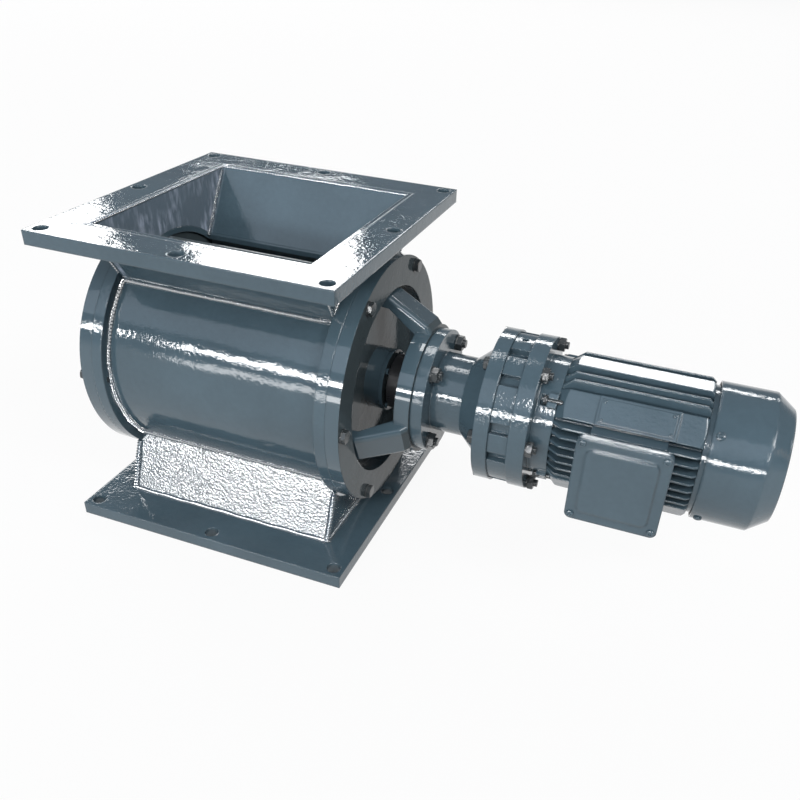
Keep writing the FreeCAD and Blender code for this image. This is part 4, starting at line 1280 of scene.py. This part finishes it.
@dataclass
class Camera:
    """The camera, solved from the two square flanges in the photograph."""

    place: Point = (0.54568, -0.91220, 0.75423)
    azimuth: float = 18.645
    elevation: float = 33.556
    roll: float = 3.068
    focal: float = 36.85
    shift: tuple[float, float] = (-0.02936, 0.05502)
    sensor: float = 36.0
    near_clip: float = 0.01

    def build(self) -> None:
        """Make the camera and use it."""
        turn = math.radians(self.azimuth)
        tilt = math.radians(self.elevation)
        flat = math.cos(tilt)
        view = Vector((-math.sin(turn) * flat, math.cos(turn) * flat, -math.sin(tilt)))
        level = view.cross(Vector((0.0, 0.0, 1.0))).normalized()
        upright = level.cross(view)
        cosine = math.cos(math.radians(self.roll))
        sine = math.sin(math.radians(self.roll))
        right = level * cosine + upright * sine
        up = upright * cosine - level * sine
        data = bpy.data.cameras.new("camera")
        data.sensor_width = self.sensor
        data.lens = self.focal
        data.shift_x, data.shift_y = self.shift
        data.clip_start = self.near_clip
        obj = bpy.data.objects.new("camera", data)
        basis = Matrix((right, up, -view)).transposed().to_4x4()
        obj.matrix_world = Matrix.Translation(self.place) @ basis
        bpy.context.scene.collection.objects.link(obj)
        bpy.context.scene.camera = obj


@dataclass(frozen=True)
class Lamp:
    """A rectangular lamp that faces the valve. Angles are degrees as the valve sees them."""

    name: str
    azimuth: float
    elevation: float
    half_width: float
    half_height: float
    radiance: float
    tint: Colour = WHITE


@dataclass
class Studio:
    """White floor, pale surroundings and lamps."""

    target: Point = (0.15, 0.0, 0.25)
    distance: float = 10.0
    floor_reach: float = 14.0
    floor_level: float = -1.0 * MM
    floor_grey: Colour = (0.4, 0.4, 0.4)
    floor_glow: float = 0.93
    sky: tuple[tuple[float, Colour], ...] = (
        (0.0, (0.8, 0.8, 0.8)),
        (0.07, (0.4, 0.41, 0.43)),
        (0.2, (0.2, 0.21, 0.23)),
        (1.0, (0.34, 0.35, 0.38)),
    )
    lamps: tuple[Lamp, ...] = (
        Lamp("door_light", 192.0, 14.6, 21.8, 2.1, 46.0),
        Lamp("door_edge_light", 220.6, 13.6, 0.7, 2.2, 110.0),
        Lamp("low_door_light", 202.5, 1.9, 11.0, 2.4, 10.0),
        Lamp("soft_front_light", 200.0, 42.0, 26.0, 18.0, 1.2, (0.85, 0.95, 1.1)),
        Lamp("left_window", -51.5, 24.0, 8.0, 6.2, 16.0),
        Lamp("middle_window", -30.7, 24.4, 5.7, 5.2, 16.0),
        Lamp("right_window", -6.0, 28.5, 14.0, 3.8, 14.0),
        Lamp("lid_edge_light", 181.8, 38.0, 2.7, 6.0, 50.0),
        Lamp("leg_light", 112.0, 43.0, 8.0, 5.0, 30.0),
        Lamp("right_roof_light", 138.0, 50.0, 9.0, 10.0, 7.0),
        Lamp("far_ceiling_light", -60.0, 71.0, 9.0, 4.0, 10.0),
        Lamp("side_window", 86.0, 29.0, 8.0, 5.0, 20.0),
        Lamp("brown_wall", 75.0, 6.0, 16.0, 8.0, 1.2, (1.0, 0.72, 0.52)),
    )

    def build(self) -> None:
        """Make the floor, the world and the lamps."""
        self._floor()
        self._world()
        for lamp in self.lamps:
            self._lamp(lamp)
        bpy.context.scene.view_settings.view_transform = "Standard"

    def _floor(self) -> None:
        """Make the floor, which shows white to the camera and in reflections."""
        reach = self.floor_reach
        draft = MeshDraft()
        for x, y in ((-reach, -reach), (reach, -reach), (reach, reach), (-reach, reach)):
            draft.points.append(Vector((x, y, self.floor_level)))
        draft.faces.append((0, 1, 2, 3))
        floor = draft.piece("floor")
        material, graph = new_material("white_floor")
        matt = graph.add("ShaderNodeBsdfDiffuse", {}, {"Color": opaque(self.floor_grey)})
        glow = graph.add("ShaderNodeEmission", {}, {"Color": opaque(WHITE)})
        path = graph.add("ShaderNodeLightPath")
        seen = path.out("Is Camera Ray") + path.out("Is Glossy Ray") + path.out("Is Transmission Ray")
        share = seen.clamped() * self.floor_glow
        mix = graph.add("ShaderNodeMixShader", {}, {0: share, 1: matt.out(), 2: glow.out()})
        graph.add("ShaderNodeOutputMaterial", {}, {"Surface": mix.out()})
        floor.data.materials.append(material)

    def _world(self) -> None:
        """Make the surroundings: white at the horizon, greyer overhead."""
        world = bpy.data.worlds.new("surroundings")
        world.use_nodes = True
        graph = NodeGraph(world.node_tree)
        direction = graph.add("ShaderNodeTexCoord").out("Generated")
        height = graph.add("ShaderNodeSeparateXYZ", {}, {0: direction}).out(2)
        ramp = graph.add("ShaderNodeValToRGB", {"stops": self.sky}, {0: height})
        shade = graph.add("ShaderNodeBackground", {}, {"Color": ramp.out()})
        graph.add("ShaderNodeOutputWorld", {}, {"Surface": shade.out()})
        bpy.context.scene.world = world

    def _lamp(self, lamp: Lamp) -> None:
        """Place one lamp.

        Args:
            lamp: The lamp. Its azimuth is from +Y towards +X.
        """
        turn = math.radians(lamp.azimuth)
        tilt = math.radians(lamp.elevation)
        flat = math.cos(tilt)
        away = Vector((math.sin(turn) * flat, math.cos(turn) * flat, math.sin(tilt)))
        data = bpy.data.lights.new(lamp.name, "AREA")
        data.shape = "RECTANGLE"
        data.size = 2.0 * self.distance * math.tan(math.radians(lamp.half_width))
        data.size_y = 2.0 * self.distance * math.tan(math.radians(lamp.half_height))
        data.energy = math.pi * data.size * data.size_y * lamp.radiance
        data.color = lamp.tint
        obj = bpy.data.objects.new(lamp.name, data)
        obj.location = Vector(self.target) + away * self.distance
        obj.rotation_euler = away.to_track_quat("Z", "Y").to_euler()
        bpy.context.scene.collection.objects.link(obj)


@dataclass
class Valve:
    """The whole object: its solids, and the pieces that dress them."""

    nodes: dict[str, bpy.types.Object]
    shop: FinishShop = field(default_factory=FinishShop)

    def dress_solids(self) -> None:
        """Give every solid its finish."""
        for finish, names in NODE_FINISHES.items():
            for name in names.split():
                self.shop.dress(self.nodes[name], finish)
            LOG.info("%s: %d parts", finish.name, len(names.split()))

    def add_pieces(self) -> None:
        """Lay the weld beads and fit the detailed fasteners."""
        WeldBeads(self.shop).build()
        Fasteners(self.shop).build()


def main() -> None:
    """Build the scene."""
    logging.basicConfig(level=logging.INFO, format="%(name)s: %(message)s")
    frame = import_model()
    valve = Valve(frame["nodes"])
    valve.dress_solids()
    valve.add_pieces()
    Studio().build()
    Camera().build()


if __name__ == "__main__":
    main()
